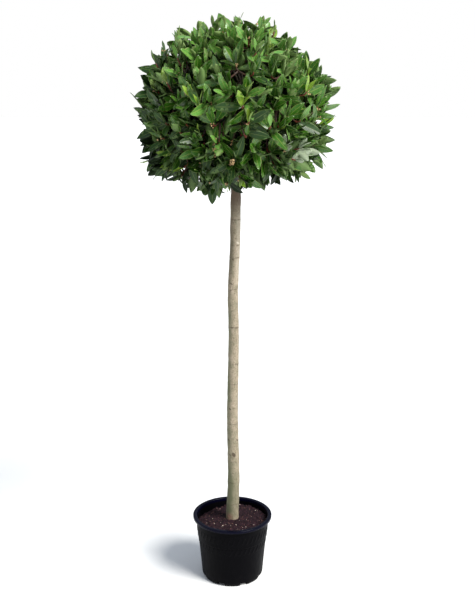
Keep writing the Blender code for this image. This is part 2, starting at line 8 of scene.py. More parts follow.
import bpy
import numpy as np
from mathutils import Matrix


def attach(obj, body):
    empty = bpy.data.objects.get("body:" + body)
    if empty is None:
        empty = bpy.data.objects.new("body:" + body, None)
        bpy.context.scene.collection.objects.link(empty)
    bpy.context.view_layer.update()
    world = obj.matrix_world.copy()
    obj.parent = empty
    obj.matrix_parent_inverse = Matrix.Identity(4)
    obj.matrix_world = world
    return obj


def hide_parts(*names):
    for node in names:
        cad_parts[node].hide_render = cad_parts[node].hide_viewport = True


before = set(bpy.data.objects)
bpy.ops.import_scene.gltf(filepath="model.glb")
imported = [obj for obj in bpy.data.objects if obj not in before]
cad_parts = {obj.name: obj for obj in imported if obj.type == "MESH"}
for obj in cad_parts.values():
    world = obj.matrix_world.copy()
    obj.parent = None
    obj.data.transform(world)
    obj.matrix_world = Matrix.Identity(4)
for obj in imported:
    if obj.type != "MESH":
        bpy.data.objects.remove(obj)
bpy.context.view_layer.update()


# ---------------------------------------------------------------- studio
# A pale floor without an edge in view, an overcast white sky and a wide soft sun, high on
# the right. The camera stands at a person's eye height and looks slightly down.

SKY_BANDS = (  # height of the way up from level, colour
    (0.00, (1.0, 1.0, 1.0)),
    (0.10, (1.0, 1.0, 1.0)),
    (0.24, (0.33, 0.355, 0.385)),
    (1.00, (0.54, 0.60, 0.70)),
)
SUN_PLACE = (3.2, -2.4, 3.9)
SUN_STRENGTH = 4.7
SUN_SPREAD = 28.0  # degrees across
SUN_COLOUR = (1.0, 0.985, 0.95)
FLOOR_COLOUR = (0.90, 0.90, 0.89)
FLOOR_CLOUDS = (0.92, 0.92, 0.91)
FLOOR_REACH = 40.0
FLOOR_DROP = 0.0004
CAMERA_PLACE = (0.0185, -3.01, 1.735)
CAMERA_DIP = 13.5  # degrees below level
CAMERA_LENS = 55.08
CAMERA_SENSOR = 36.0


def make_studio():
    """The sky, the camera and the sun."""
    scene = bpy.context.scene
    scene.view_settings.view_transform = "Standard"
    world = bpy.data.worlds.new("overcast")
    scene.world = world
    world.use_nodes = True
    nodes, links = world.node_tree.nodes, world.node_tree.links
    way = nodes.new("ShaderNodeTexCoord")
    split = nodes.new("ShaderNodeSeparateXYZ")
    fade = nodes.new("ShaderNodeValToRGB")
    for height, _ in SKY_BANDS[2:]:
        fade.color_ramp.elements.new(height)
    for element, (height, colour) in zip(fade.color_ramp.elements, SKY_BANDS):
        element.position = height
        element.color = (*colour, 1.0)
    links.new(way.outputs["Generated"], split.inputs["Vector"])
    links.new(split.outputs["Z"], fade.inputs["Fac"])
    links.new(fade.outputs["Color"], nodes["Background"].inputs["Color"])

    camera_data = bpy.data.cameras.new("camera")
    camera_data.sensor_width = CAMERA_SENSOR
    camera_data.lens = CAMERA_LENS
    camera = bpy.data.objects.new("camera", camera_data)
    camera.location = CAMERA_PLACE
    camera.rotation_euler = (math.radians(90.0 - CAMERA_DIP), 0.0, 0.0)
    scene.collection.objects.link(camera)
    scene.camera = camera

    sun_data = bpy.data.lights.new("sun", "SUN")
    sun_data.energy = SUN_STRENGTH
    sun_data.angle = math.radians(SUN_SPREAD)
    sun_data.color = SUN_COLOUR
    sun = bpy.data.objects.new("sun", sun_data)
    sun.location = SUN_PLACE
    level = math.hypot(SUN_PLACE[0], SUN_PLACE[1])
    sun.rotation_euler = (math.atan2(level, SUN_PLACE[2]), 0.0, math.atan2(SUN_PLACE[0], -SUN_PLACE[1]))
    scene.collection.objects.link(sun)


def add_piece(name, points, faces, materials, face_slots=None):
    """A smooth-shaded mesh object at the origin, from arrays of points, faces and face slots."""
    mesh = bpy.data.meshes.new(name)
    mesh.from_pydata(points.tolist(), [], faces if isinstance(faces, list) else faces.tolist())
    for material in materials:
        mesh.materials.append(material)
    if face_slots is not None:
        mesh.polygons.foreach_set("material_index", np.asarray(face_slots, dtype=np.int32))
    mesh.shade_smooth()
    mesh.update()
    piece = bpy.data.objects.new(name, mesh)
    bpy.context.scene.collection.objects.link(piece)
    return piece


def plain_material(name, colour, roughness, specular=0.5):
    """A material whose colour, roughness and shine are set on the shader's own sockets."""
    material = bpy.data.materials.new(name)
    material.use_nodes = True
    shader = material.node_tree.nodes["Principled BSDF"]
    shader.inputs["Base Color"].default_value = (*colour, 1.0)
    shader.inputs["Roughness"].default_value = roughness
    shader.inputs["Specular IOR Level"].default_value = specular
    return material


def node_of(material, kind, **values):
    """Adds a node and sets the named input sockets or settings on it."""
    node = material.node_tree.nodes.new(kind)
    for key, value in values.items():
        if hasattr(node, key):
            setattr(node, key, value)
        else:
            node.inputs[key.replace("_", " ")].default_value = value
    return node


def noise_of(material, size, stretch=(1.0, 1.0, 1.0), detail=4.0, roughness=0.55):
    """Cloudy noise on object coordinates. Its blobs are about size metres, longer along stretch."""
    links = material.node_tree.links
    place = node_of(material, "ShaderNodeTexCoord")
    turn = node_of(material, "ShaderNodeMapping")
    turn.inputs["Scale"].default_value = tuple(1.0 / axis for axis in stretch)
    noise = node_of(material, "ShaderNodeTexNoise", Scale=1.0 / size, Detail=detail, Roughness=roughness)
    links.new(place.outputs["Object"], turn.inputs["Vector"])
    links.new(turn.outputs["Vector"], noise.inputs["Vector"])
    return noise.outputs["Fac"]


def mix_of(material, fac, low, high, blend="MIX"):
    """Mixes two colours, each an output or a plain colour, by fac, an output or a number."""
    links = material.node_tree.links
    mix = node_of(material, "ShaderNodeMix", data_type="RGBA", blend_type=blend)
    for index, value in ((0, fac), (6, low), (7, high)):
        if isinstance(value, bpy.types.NodeSocket):
            links.new(value, mix.inputs[index])
        elif index == 0:
            mix.inputs[index].default_value = value
        else:
            mix.inputs[index].default_value = (*value, 1.0)
    return mix.outputs[2]


def join_up(material, **outputs):
    """Links outputs to the shader's sockets of the same names, with _ for a space."""
    shader = material.node_tree.nodes["Principled BSDF"]
    for key, output in outputs.items():
        material.node_tree.links.new(output, shader.inputs[key.replace("_", " ")])


def make_floor():
    """One wide pale square just under the pot."""
    corners = np.array([(-1, -1, 0), (1, -1, 0), (1, 1, 0), (-1, 1, 0)], dtype=float) * FLOOR_REACH
    corners[:, 2] = -FLOOR_DROP
    paint = plain_material("pale_floor", FLOOR_COLOUR, 0.9, 0.1)
    join_up(paint, Base_Color=mix_of(paint, noise_of(paint, 0.8), FLOOR_COLOUR, FLOOR_CLOUDS))
    return add_piece("floor", corners, [(0, 1, 2, 3)], [paint])


make_studio()
make_floor()


# ---------------------------------------------------------------- nursery pot
# A thin black polypropylene pot, injection moulded in one: a rolled lip, a deeper collar for
# stacking, two rows of short slanted ribs for grip, and drain slots between its feet.

POT_HEIGHT = 0.229
RIM_RADIUS = 0.140
RIM_DEPTH = 0.010
COLLAR_TOP_RADIUS = 0.1275
COLLAR_FOOT_RADIUS = 0.1240
COLLAR_FOOT_HEIGHT = 0.153
WALL_TOP_RADIUS = 0.1212
WALL_FOOT_RADIUS = 0.1085
WALL_FOOT_HEIGHT = 0.012
POT_WALL = 0.0024
FOOT_RADIUS = 0.103
FLOOR_TOP = 0.008
DRAIN_SLOTS = 8
SLOT_WIDTH = 0.026
SLOT_HEIGHT = 0.013
SLOT_RAISE = 0.0066
SLOT_DEPTH = 0.0070
SLOT_INSIDE = 0.0950  # the slots cut the wall outside this radius
FOOT_INSIDE = 0.0855
POT_COLUMNS = 480
PLAIN_TOP = 0.120  # the wall is plain below this height
PLAIN_STEP = 0.03  # longest run of the profile where the wall is plain
RIBBED_STEP = 0.0017
CURVED_STEP = 0.0032
LIP_RUNS = 8  # runs of the profile from the lip's inner foot to its widest point
RIB_ROWS = (  # lowest and highest point of each row of slanted ribs
    (0.1260, 0.1470),
    (0.1690, 0.1920),
)
RIB_PITCH = 0.0170
RIB_LEAN = 0.0085  # how far round a rib moves as it rises
RIB_WIDTH = 0.0046
RIB_RELIEF = 0.0012
POT_BLACK = (0.0012, 0.0011, 0.0018)
# The lip's navy: dark plastic with a painted reflection of blue sky in its colour.
POT_NAVY_SHEEN = (0.0009, 0.0010, 0.0076)
POT_DUST = (0.0075, 0.0066, 0.0078)


def unit(vectors):
    """Each vector divided by its length."""
    return vectors / np.linalg.norm(vectors, axis=-1, keepdims=True)


def wall_outside(height):
    """Outer radius of the tapered wall, or of the collar above its foot."""
    wall = np.interp(height, (WALL_FOOT_HEIGHT, COLLAR_FOOT_HEIGHT), (WALL_FOOT_RADIUS, WALL_TOP_RADIUS))
    top = POT_HEIGHT - RIM_DEPTH
    collar = np.interp(height, (COLLAR_FOOT_HEIGHT, top), (COLLAR_FOOT_RADIUS, COLLAR_TOP_RADIUS))
    return np.where(height >= COLLAR_FOOT_HEIGHT, collar, wall)


def rounded_path(corners, arc_points=5):
    """Runs between corners (x, y, radius). A rounded corner is an arc that touches both its runs.

    The arc starts radius * tan(turn / 2) before the corner, and a point of it is the corner's
    two touching points blended as a quadratic curve.
    """
    path = [np.array([corners[0][:2]])]
    for before, corner, after in zip(corners, corners[1:], corners[2:]):
        here = np.array(corner[:2])
        if corner[2] == 0:
            path.append(here[None])
            continue
        back = unit(np.subtract(before[:2], here))
        onward = unit(np.subtract(after[:2], here))
        turn = math.pi - math.acos(np.clip(back @ onward, -1.0, 1.0))
        reach = corner[2] * math.tan(turn / 2)
        share = np.linspace(0.0, 1.0, arc_points)[:, None]
        start, end = here + back * reach, here + onward * reach
        path.append((1 - share) ** 2 * start + 2 * share * (1 - share) * here + share**2 * end)
    path.append(np.array([corners[-1][:2]]))
    return np.concatenate(path)


def evened(path, steps):
    """Adds points so that no run of the path is longer than its own step."""
    pieces = []
    for start, end, step in zip(path, path[1:], steps):
        count = max(1, int(np.ceil(np.linalg.norm(end - start) / step)))
        pieces.append(start + (end - start) * np.linspace(0, 1, count, endpoint=False)[:, None])
    return np.concatenate(pieces + [path[-1:]])


def ring_faces(rows, columns):
    """Quads of a grid that closes round its columns, row after row."""
    row, column = np.meshgrid(np.arange(rows - 1), np.arange(columns), indexing="ij")
    after = (column + 1) % columns
    low, high = row * columns, (row + 1) * columns
    return np.stack([low + column, high + column, high + after, low + after], -1).reshape(-1, 4)


def capped_faces(rows, columns):
    """The quads of ring_faces as lists, with the first row and the last as closing faces."""
    last = (rows - 1) * columns
    ends = [list(range(columns)), list(range(last, last + columns))[::-1]]
    return ring_faces(rows, columns).tolist() + ends


def smooth_step(low, high, value):
    """Zero short of low, one past high, and 3 * share ** 2 - 2 * share ** 3 on the way."""
    share = np.clip((value - low) / (high - low), 0.0, 1.0)
    return share * share * (3.0 - 2.0 * share)


def rib_relief(angle, height):
    """Height of the ribs: within half a rib of slanted lines one pitch apart, in each row."""
    relief = np.zeros_like(angle)
    for low, high in RIB_ROWS:
        girth = 2 * math.pi * float(wall_outside(low))
        lean = (height - low) / (high - low) * RIB_LEAN
        turns = round(girth / RIB_PITCH)
        phase = (angle / (2 * math.pi) * turns - lean / girth * turns) % 1.0
        away = np.abs(phase - 0.5) * RIB_PITCH
        row = smooth_step(low - 0.001, low + 0.001, height) * smooth_step(high + 0.001, high - 0.001, height)
        relief += row * smooth_step(RIB_WIDTH / 2 + 0.0006, RIB_WIDTH / 2 - 0.0008, away)
    return relief * RIB_RELIEF


def make_pot_surface():
    """The whole shell as one profile turned round the axis, from the inner floor over the lip."""
    inside = POT_HEIGHT - RIM_DEPTH
    lip = 0.0024
    step = COLLAR_FOOT_HEIGHT
    corners = [  # radius, height, rounding
        (0.0005, FLOOR_TOP, 0.0),
        (WALL_FOOT_RADIUS - 0.0059, FLOOR_TOP, 0.003),
        (wall_outside(0.02) - POT_WALL, 0.020, 0.004),
        (wall_outside(step - 0.003) - POT_WALL, step - 0.003, 0.002),
        (wall_outside(step + 0.002) - POT_WALL, step + 0.002, 0.002),
        (wall_outside(inside) - POT_WALL, inside, 0.003),
        (wall_outside(inside) - 0.0008, POT_HEIGHT, lip),
        (RIM_RADIUS, POT_HEIGHT, lip),
        (RIM_RADIUS, inside + 0.0008, 0.0018),
        (RIM_RADIUS - 0.0040, inside, 0.0014),
        (wall_outside(inside - 0.001) + 0.0010, inside - 0.0008, 0.0020),
        (wall_outside(inside - 0.007), inside - 0.007, 0.004),
        (COLLAR_FOOT_RADIUS, step, 0.0012),
        (WALL_TOP_RADIUS, step - 0.002, 0.0010),
        (float(wall_outside(PLAIN_TOP)), PLAIN_TOP, 0.0),
        (WALL_FOOT_RADIUS, WALL_FOOT_HEIGHT, 0.012),
        (FOOT_RADIUS, 0.0, 0.004),
        (0.088, 0.0, 0.0015),
        (0.086, 0.004, 0.0010),
        (0.036, 0.004, 0.0010),
        (0.034, 0.0, 0.0010),
        (0.0005, 0.0, 0.0),
    ]
    path = rounded_path(corners)
    run_height = (path[1:, 1] + path[:-1, 1]) / 2
    inside_wall = np.arange(len(run_height)) < np.argmax(path[:, 0]) - LIP_RUNS
    plain = inside_wall | ((run_height > 0.02) & (run_height < PLAIN_TOP))
    ribbed = (run_height > PLAIN_TOP) & (run_height < 0.20)
    steps = np.where(plain, PLAIN_STEP, np.where(ribbed, RIBBED_STEP, CURVED_STEP))
    profile = evened(path, steps)

    angle = np.linspace(0, 2 * math.pi, POT_COLUMNS, endpoint=False)
    radius, angle = np.meshgrid(profile[:, 0], angle, indexing="ij")
    height = np.repeat(profile[:, 1:2], POT_COLUMNS, 1)
    outer = (np.arange(len(profile)) > np.argmax(profile[:, 0]))[:, None]
    wall = outer & (height > 0.1) & (height < 0.2)
    radius = radius + np.where(wall, rib_relief(angle, height), 0.0)

    turn = (angle / (2 * math.pi) * DRAIN_SLOTS) % 1.0 - 0.5
    across = np.abs(turn) * 2 * math.pi / DRAIN_SLOTS * FOOT_RADIUS
    in_slot = smooth_step(SLOT_WIDTH / 2 + 0.0008, SLOT_WIDTH / 2 - 0.0008, across)
    foot = outer & (height < SLOT_HEIGHT) & (radius > FOOT_INSIDE)
    radius = radius - np.where(foot & (radius > SLOT_INSIDE), in_slot * SLOT_DEPTH, 0.0)
    height = height + np.where(foot, in_slot * np.maximum(SLOT_RAISE - height, 0.0), 0.0)
    points = np.stack([radius * np.cos(angle), radius * np.sin(angle), height], -1).reshape(-1, 3)
    return points, capped_faces(len(profile), POT_COLUMNS)


def ramp_of(material, fac, stops):
    """Colours or grey levels along fac. Each stop is (position, colour)."""
    ramp = node_of(material, "ShaderNodeValToRGB")
    elements = ramp.color_ramp.elements
    while len(elements) < len(stops):
        elements.new(0.5)
    for element, (position, colour) in zip(elements, stops):
        element.position = position
        shade = colour if isinstance(colour, tuple) else (colour,) * 3
        element.color = (*shade, 1.0)
    material.node_tree.links.new(fac, ramp.inputs["Fac"])
    return ramp.outputs["Color"]


def bump_of(material, height, distance, strength=1.0, under=None):
    """Turns a grey pattern into small relief, distance metres from black to white."""
    links = material.node_tree.links
    bump = node_of(material, "ShaderNodeBump", Distance=distance, Strength=strength)
    links.new(height, bump.inputs["Height"])
    if under is not None:
        links.new(under, bump.inputs["Normal"])
    return bump.outputs["Normal"]


def make_pot_plastic(name, colour, roughness, shine):
    """Moulded black plastic with faint dust, more of it low down where watering splashes it."""
    plastic = plain_material(name, colour, roughness, shine)
    place = node_of(plastic, "ShaderNodeTexCoord")
    split = node_of(plastic, "ShaderNodeSeparateXYZ")
    plastic.node_tree.links.new(place.outputs["Object"], split.inputs["Vector"])
    low = node_of(plastic, "ShaderNodeMapRange", From_Min=0.05, From_Max=0.0)
    plastic.node_tree.links.new(split.outputs["Z"], low.inputs["Value"])
    dusty = ramp_of(plastic, noise_of(plastic, 0.02, detail=8.0), [(0.48, 0.0), (0.80, 0.55)])
    splashed = mix_of(plastic, low.outputs["Result"], dusty, (0.30, 0.30, 0.30), "ADD")
    grime = ramp_of(plastic, splashed, [(0.10, 0.0), (1.0, 0.35)])
    scuffs = noise_of(plastic, 0.006, (1, 1, 5), 6.0)
    scuffs = ramp_of(plastic, scuffs, [(0.35, roughness), (0.70, roughness * 1.4)])
    grain = bump_of(plastic, noise_of(plastic, 0.0012, detail=2.0), 0.00012, roughness)
    relief = bump_of(plastic, noise_of(plastic, 0.05, detail=1.0), 0.0012, 0.5, grain)
    join_up(plastic, Base_Color=mix_of(plastic, grime, colour, POT_DUST), Roughness=scuffs, Normal=relief)
    return plastic


pot_points, pot_faces = make_pot_surface()
pot_plastics = [
    make_pot_plastic("wall_plastic", POT_BLACK, 0.42, 0.040),
    # The lip's colour holds a painted reflection of blue sky.
    make_pot_plastic("lip_plastic", POT_NAVY_SHEEN, 0.15, 0.085),
]
quads = np.array(pot_faces[:-2])
on_lip = pot_points[quads, 2].min(1) > POT_HEIGHT - RIM_DEPTH
pot = add_piece("pot_shell", pot_points, pot_faces, pot_plastics, [*on_lip, False, False])
pot.data.set_sharp_from_angle(angle=math.radians(50))
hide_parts("pot")
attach(pot, "root")


# ---------------------------------------------------------------- compost
# Damp peat-based potting compost, filled to about two centimetres below the lip and sunk on one
# side where it was watered: a lumpy crust with chips of bark and flecks of grit on it.

COMPOST_EDGE_HEIGHT = 0.2060
COMPOST_CROWNING = 0.0050
COMPOST_TOP = COMPOST_EDGE_HEIGHT + COMPOST_CROWNING
COMPOST_HOLLOW_DEPTH = 0.015
COMPOST_HOLLOW_BEARING = math.radians(150)
COMPOST_FLAT_RADIUS = 0.026
COMPOST_CLEARANCE = 0.0006  # between the compost and the wall
COMPOST_SIDES = (  # height, space between the compost and the wall, below its surface
    (0.176, 0.0008),
    (COLLAR_FOOT_HEIGHT + 0.003, 0.0008),
    (COLLAR_FOOT_HEIGHT - 0.004, 0.0008),
    (0.022, 0.0008),
    (FLOOR_TOP + 0.0004, 0.0098),
)
COMPOST_COLUMNS = 220
COMPOST_RINGS = 90
COMPOST_DARK = (0.0042, 0.0018, 0.0038)
COMPOST_BROWN = (0.0215, 0.0076, 0.0138)
COMPOST_TAN = (0.092, 0.030, 0.040)
COMPOST_BITS = (  # name, count, shortest, longest, flatness, colour
    ("bark_chips", 1100, 0.0022, 0.0068, 0.50, (0.027, 0.0095, 0.0140)),
    ("red_chips", 620, 0.0020, 0.0058, 0.55, (0.080, 0.024, 0.028)),
    ("peat_crumbs", 1700, 0.0020, 0.0056, 0.85, (0.0065, 0.0028, 0.0052)),
    ("tan_crumbs", 170, 0.0022, 0.0052, 0.85, (0.280, 0.140, 0.110)),
    ("pale_grit", 42, 0.0030, 0.0058, 0.95, (0.900, 0.730, 0.600)),
)
BITS_REACH = 0.1235


def ripples(places, seed, sizes, count=9):
    """Smooth random hills: for each size, a mean of sine waves that run in random directions."""
    draw = np.random.default_rng(seed)
    total = np.zeros(places.shape[:-1])
    for size in sizes:
        ways = unit(draw.normal(size=(count, places.shape[-1])))
        ways *= 2 * math.pi / (size * draw.uniform(0.7, 1.4, (count, 1)))
        phases = draw.uniform(0, 2 * math.pi, count)
        total += np.sin(places @ ways.T + phases).mean(-1) * size
    return total


def compost_height(x, y):
    """Crowned to the middle, heeled up round the stem, sunk on one bearing, with crumbs on top."""
    away = np.hypot(x, y)
    rim = wall_outside(COMPOST_EDGE_HEIGHT) - POT_WALL
    share = np.clip((away - COMPOST_FLAT_RADIUS) / (rim - COMPOST_FLAT_RADIUS), 0.0, 1.0)
    bearing = np.arctan2(y, x)
    hollow = np.maximum(0.0, np.cos(bearing - COMPOST_HOLLOW_BEARING)) ** 3
    ragged = 1.0 + 26.0 * ripples(np.stack([x, y], -1), 6, (0.020, 0.045))
    hollow *= share**2 * COMPOST_HOLLOW_DEPTH * ragged
    lumps = 0.0012 * np.sin(3 * share * math.pi) * np.sin(5 * bearing)
    crumbs = ripples(np.stack([x, y], -1), 5, (0.004, 0.009, 0.022)) * (0.35 + 0.65 * share)
    heel = 0.0042 * np.exp(-((away / 0.034) ** 4))
    return COMPOST_TOP - COMPOST_CROWNING * share**2 - hollow + lumps + crumbs * 0.30 + heel


def make_compost_surface():
    """A disc of rings at the surface's height, carried down inside the pot's wall to its floor."""
    edge = wall_outside(COMPOST_EDGE_HEIGHT) - POT_WALL - COMPOST_CLEARANCE
    ring = np.linspace(0.004, 1.0, COMPOST_RINGS)[:, None] * edge
    angle = np.linspace(0, 2 * math.pi, COMPOST_COLUMNS, endpoint=False)[None, :]
    x, y = ring * np.cos(angle), ring * np.sin(angle)
    z = compost_height(x, y)
    limit = wall_outside(z) - POT_WALL - COMPOST_CLEARANCE
    shrink = np.minimum(1.0, limit / np.maximum(np.hypot(x, y), 1e-6))
    rows = [np.stack([x * shrink, y * shrink, z], -1)]
    for height, space in COMPOST_SIDES:
        radius = wall_outside(height) - POT_WALL - space
        around = np.concatenate([radius * np.cos(angle), radius * np.sin(angle)])
        rows.append(np.concatenate([around, np.full((1, COMPOST_COLUMNS), height)]).T[None])
    points = np.concatenate(rows)
    return points.reshape(-1, 3), capped_faces(len(points), COMPOST_COLUMNS)


def turned_frames(ways, turns):
    """Three square axes for each row: along its way, then two across it, turned about it."""
    along = unit(ways)
    helper = np.where(np.abs(along[:, 2:]) > 0.9, [[1.0, 0.0, 0.0]], [[0.0, 0.0, 1.0]])
    side = unit(np.cross(helper, along))
    up = np.cross(along, side)
    cos, sin = np.cos(turns)[:, None], np.sin(turns)[:, None]
    return along, side * cos + up * sin, up * cos - side * sin


def pyramid_faces(count):
    """The eight faces of each of a number of double pyramids, whose last two corners are their tips."""
    pattern = [(0, 1, 4), (1, 2, 4), (2, 3, 4), (3, 0, 4), (1, 0, 5), (2, 1, 5), (3, 2, 5), (0, 3, 5)]
    return (np.array(pattern)[None] + 6 * np.arange(count)[:, None, None]).reshape(-1, 3)


def make_bits(count, shortest, longest, flatness, seed):
    """Eight-sided crumbs: each a stretched and squashed double pyramid, half sunk in the crust."""
    draw = np.random.default_rng(seed)
    away = np.sqrt(draw.uniform(0.03, 0.955, count)) * BITS_REACH
    bearing = draw.uniform(0, 2 * math.pi, count)
    x, y = away * np.cos(bearing), away * np.sin(bearing)
    length = draw.uniform(shortest, longest, count)
    z = compost_height(x, y) + length * 0.16
    tilt = draw.normal(size=(count, 3)) * [1.0, 1.0, 0.25]
    along, side, up = turned_frames(tilt, draw.uniform(-0.5, 0.5, count))
    width = length * draw.uniform(0.4, 0.8, count)
    ahead = along * length[:, None] / 2
    across = side * width[:, None] / 2
    above = up * (width * flatness)[:, None] / 2
    corners = np.stack([ahead, across, -ahead, -across, above, -above], 1) + np.stack([x, y, z], -1)[:, None]
    corners += draw.normal(size=corners.shape) * length[:, None, None] * 0.07
    return corners.reshape(-1, 3), pyramid_faces(count)


def make_compost_crust():
    """Fibres of three browns, darkened in patches where the compost is damp."""
    crust = plain_material("damp_compost", COMPOST_BROWN, 0.92, 0.25)
    fibre = noise_of(crust, 0.0016, detail=6.0, roughness=0.7)
    patch = noise_of(crust, 0.020, detail=3.0)
    specks = ramp_of(crust, fibre, [(0.36, COMPOST_DARK), (0.52, COMPOST_BROWN), (0.70, COMPOST_TAN)])
    damp = ramp_of(crust, patch, [(0.35, 0.55), (0.65, 1.0)])
    relief = bump_of(crust, fibre, 0.0012, 1.0)
    join_up(crust, Base_Color=mix_of(crust, 1.0, specks, damp, "MULTIPLY"), Normal=relief)
    return crust


compost_points, compost_faces = make_compost_surface()
compost = add_piece("compost_fill", compost_points, compost_faces, [make_compost_crust()])
compost.data.set_sharp_from_angle(angle=math.radians(60))
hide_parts("compost")
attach(compost, "root")

for bit_seed, (bit_name, count, shortest, longest, flatness, colour) in enumerate(COMPOST_BITS):
    bit_points, bit_faces = make_bits(count, shortest, longest, flatness, 20 + bit_seed)
    bit_finish = plain_material(bit_name + "_finish", colour, 0.85, 0.3)
    darker = tuple(0.55 * level for level in colour)
    join_up(bit_finish, Base_Color=mix_of(bit_finish, noise_of(bit_finish, 0.004), darker, colour))
    bits = add_piece(bit_name, bit_points, bit_faces, [bit_finish])
    bits.data.shade_flat()
    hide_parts("compost")
    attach(bits, "root")


# ---------------------------------------------------------------- trunk and boughs
# One clean stem of smooth grey-beige bark, kinked and ringed where leaves and side shoots were
# cut off. It goes up into the head as the leader, and five boughs fork from its top.

TRUNK_HEAD_HEIGHT = 1.388
TRUNK_TIP_HEIGHT = 1.603
TRUNK_HEAD_RADIUS = 0.0167
TRUNK_SWELL = 0.0050
TRUNK_SWELL_POWER = 1.6
TRUNK_TIP_RADIUS = 0.0110
ROOT_FLARE = 0.0014
ROOT_FLARE_HEIGHT = 0.030
TRUNK_SINK = 0.0030  # how far the bark goes below the compost
TRUNK_BOW = 0.004
TRUNK_KINKS = np.array(  # share of the clear height, sideways shift
    [(0.00, 0.0), (0.13, 0.0050), (0.33, 0.0012), (0.59, 0.0056)]
    + [(0.69, 0.0030), (0.87, 0.0110), (1.00, 0.0130), (1.20, 0.0125)]
)
TRUNK_SIDES = 60
TRUNK_STEP = 0.0015
LEAF_RINGS = (  # height, darkness, tilt across the front, bearing of its darkest part
    (1.2874, 0.75, 0.000, -110),
    (1.2450, 0.20, -0.001, 60),
    (1.2026, 0.40, 0.001, -90),
    (1.1600, 0.50, 0.000, -70),
    (1.1050, 0.30, 0.002, 110),
    (1.0520, 0.70, 0.0045, -60),
    (0.9205, 0.95, 0.000, -90),
    (0.8765, 0.25, 0.001, -60),
    (0.7915, 0.55, -0.001, -30),
    (0.7173, 0.70, 0.000, -50),
    (0.6600, 0.20, 0.001, 90),
    (0.5725, 0.65, 0.001, -60),
    (0.5100, 0.30, 0.000, 100),
    (0.4300, 0.40, -0.002, -110),
    (0.3531, 0.35, 0.000, -115),
    (0.2704, 0.50, 0.001, -80),
    (0.2330, 0.25, -0.001, 80),
)
KNOTS = (  # height, bearing, half height, half width, swelling, darkness of its eye
    (0.4595, -86, 0.0125, 0.0078, 0.0018, 2.20),
    (0.4577, -122, 0.0050, 0.0044, 0.0005, 1.50),
    (0.5135, -141, 0.0056, 0.0050, 0.0008, 1.90),
    (0.5118, -42, 0.0056, 0.0050, 0.0008, 1.90),
    (1.2108, -60, 0.0056, 0.0048, 0.0014, -1.10),
    (1.1545, -106, 0.0046, 0.0042, 0.0005, 1.60),
    (1.0727, -110, 0.0046, 0.0046, 0.0005, 1.50),
    (1.0400, -70, 0.0030, 0.0030, 0.0004, 0.80),
    (0.9850, -60, 0.0030, 0.0026, 0.0004, 0.70),
    (0.7870, -38, 0.0028, 0.0060, 0.0005, 1.00),
    (0.6289, -118, 0.0050, 0.0046, 0.0005, 1.40),
    (0.5450, -95, 0.0030, 0.0030, 0.0003, 0.70),
    (0.4900, -72, 0.0034, 0.0060, 0.0004, 0.60),
    (0.3531, -112, 0.0022, 0.0080, 0.0004, 1.10),
    (0.4330, -72, 0.0030, 0.0056, 0.0004, 0.80),
    (0.3900, -96, 0.0034, 0.0034, 0.0003, 0.70),
    (0.3000, -74, 0.0026, 0.0030, 0.0003, 0.60),
    (0.9050, 95, 0.0050, 0.0046, 0.0011, 0.95),
    (0.7000, 150, 0.0034, 0.0030, 0.0008, 0.85),
    (1.1300, 35, 0.0040, 0.0040, 0.0010, 0.90),
    (0.6000, 40, 0.0030, 0.0030, 0.0008, -0.80),
    (0.3900, 120, 0.0040, 0.0038, 0.0009, 0.90),
    (1.2950, 140, 0.0030, 0.0030, 0.0008, 0.85),
    (0.2290, -118, 0.0090, 0.0080, 0.0006, 0.35),
)
CROWN_CENTRE = np.array([0.0125, 0.0, 1.655])
CROWN_RADIUS = 0.322
CROWN_RISE = 0.268
CROWN_DROP = 0.262
CROWN_TOP_POWER = 2.15
CROWN_FOOT_POWER = 3.8
HOLLOW_SHARE = 0.57
MASS_NAMES = ("top", "front", "front_right", "back_right", "back_left", "front_left")
SIDE_BOUGHS = len(MASS_NAMES) - 1
SIDE_BOUGH_BEARING = math.radians(-80)
SIDE_BOUGH_ELEVATION = math.radians(-8)
FORK_HEIGHT = 1.523
FORK_STEP = 0.013
BOUGH_RADIUS = 0.0085
BOUGH_TIP_RADIUS = 0.0046
BOUGH_END_GAP = 0.014
BOUGH_LEAN = 0.014  # how far the middle of a side bough leans outwards
BOUGH_DIP = 0.012  # and how far it dips
BOUGH_SIDES = 24
BOUGH_POINTS = 44
BARK_BEIGE = (0.240, 0.214, 0.150)
BARK_PALE = (0.420, 0.346, 0.272)
# Green bark; it also paints shade on the stem's left side and low down.
BARK_GREEN_AND_SHADE = (0.120, 0.125, 0.068)
# Brown of the bark near the head; it also paints shade on the upper stem's left side.
BARK_BROWN_AND_SHADE = (0.092, 0.062, 0.043)
BARK_SCAR = (0.060, 0.040, 0.026)
BARK_RED = (0.300, 0.150, 0.110)
# A painted highlight on the upper stem's right side.
BARK_HIGHLIGHT = (0.62, 0.56, 0.46)
BARK_FLECKS = (  # where in the noise, what it multiplies the colour by
    (0.34, (0.40, 0.37, 0.28)),
    (0.46, (0.86, 0.86, 0.80)),
    (0.60, (1.0, 1.0, 1.0)),
    (0.72, (1.30, 1.26, 1.20)),
)


def trunk_middle(height):
    """The stem's axis: each run between two kinks eases from one sideways shift to the next."""
    share = (height - COMPOST_TOP) / (TRUNK_HEAD_HEIGHT - COMPOST_TOP)
    run = np.clip(np.searchsorted(TRUNK_KINKS[:, 0], share, "right") - 1, 0, len(TRUNK_KINKS) - 2)
    low, high = TRUNK_KINKS[run], TRUNK_KINKS[run + 1]
    part = smooth_step(low[..., 0], high[..., 0], share)
    shift = low[..., 1] + part * (high[..., 1] - low[..., 1])
    bow = TRUNK_BOW * np.sin(2 * math.pi * np.clip(share, 0.0, 1.0))
    return np.stack([shift, bow, height], -1)


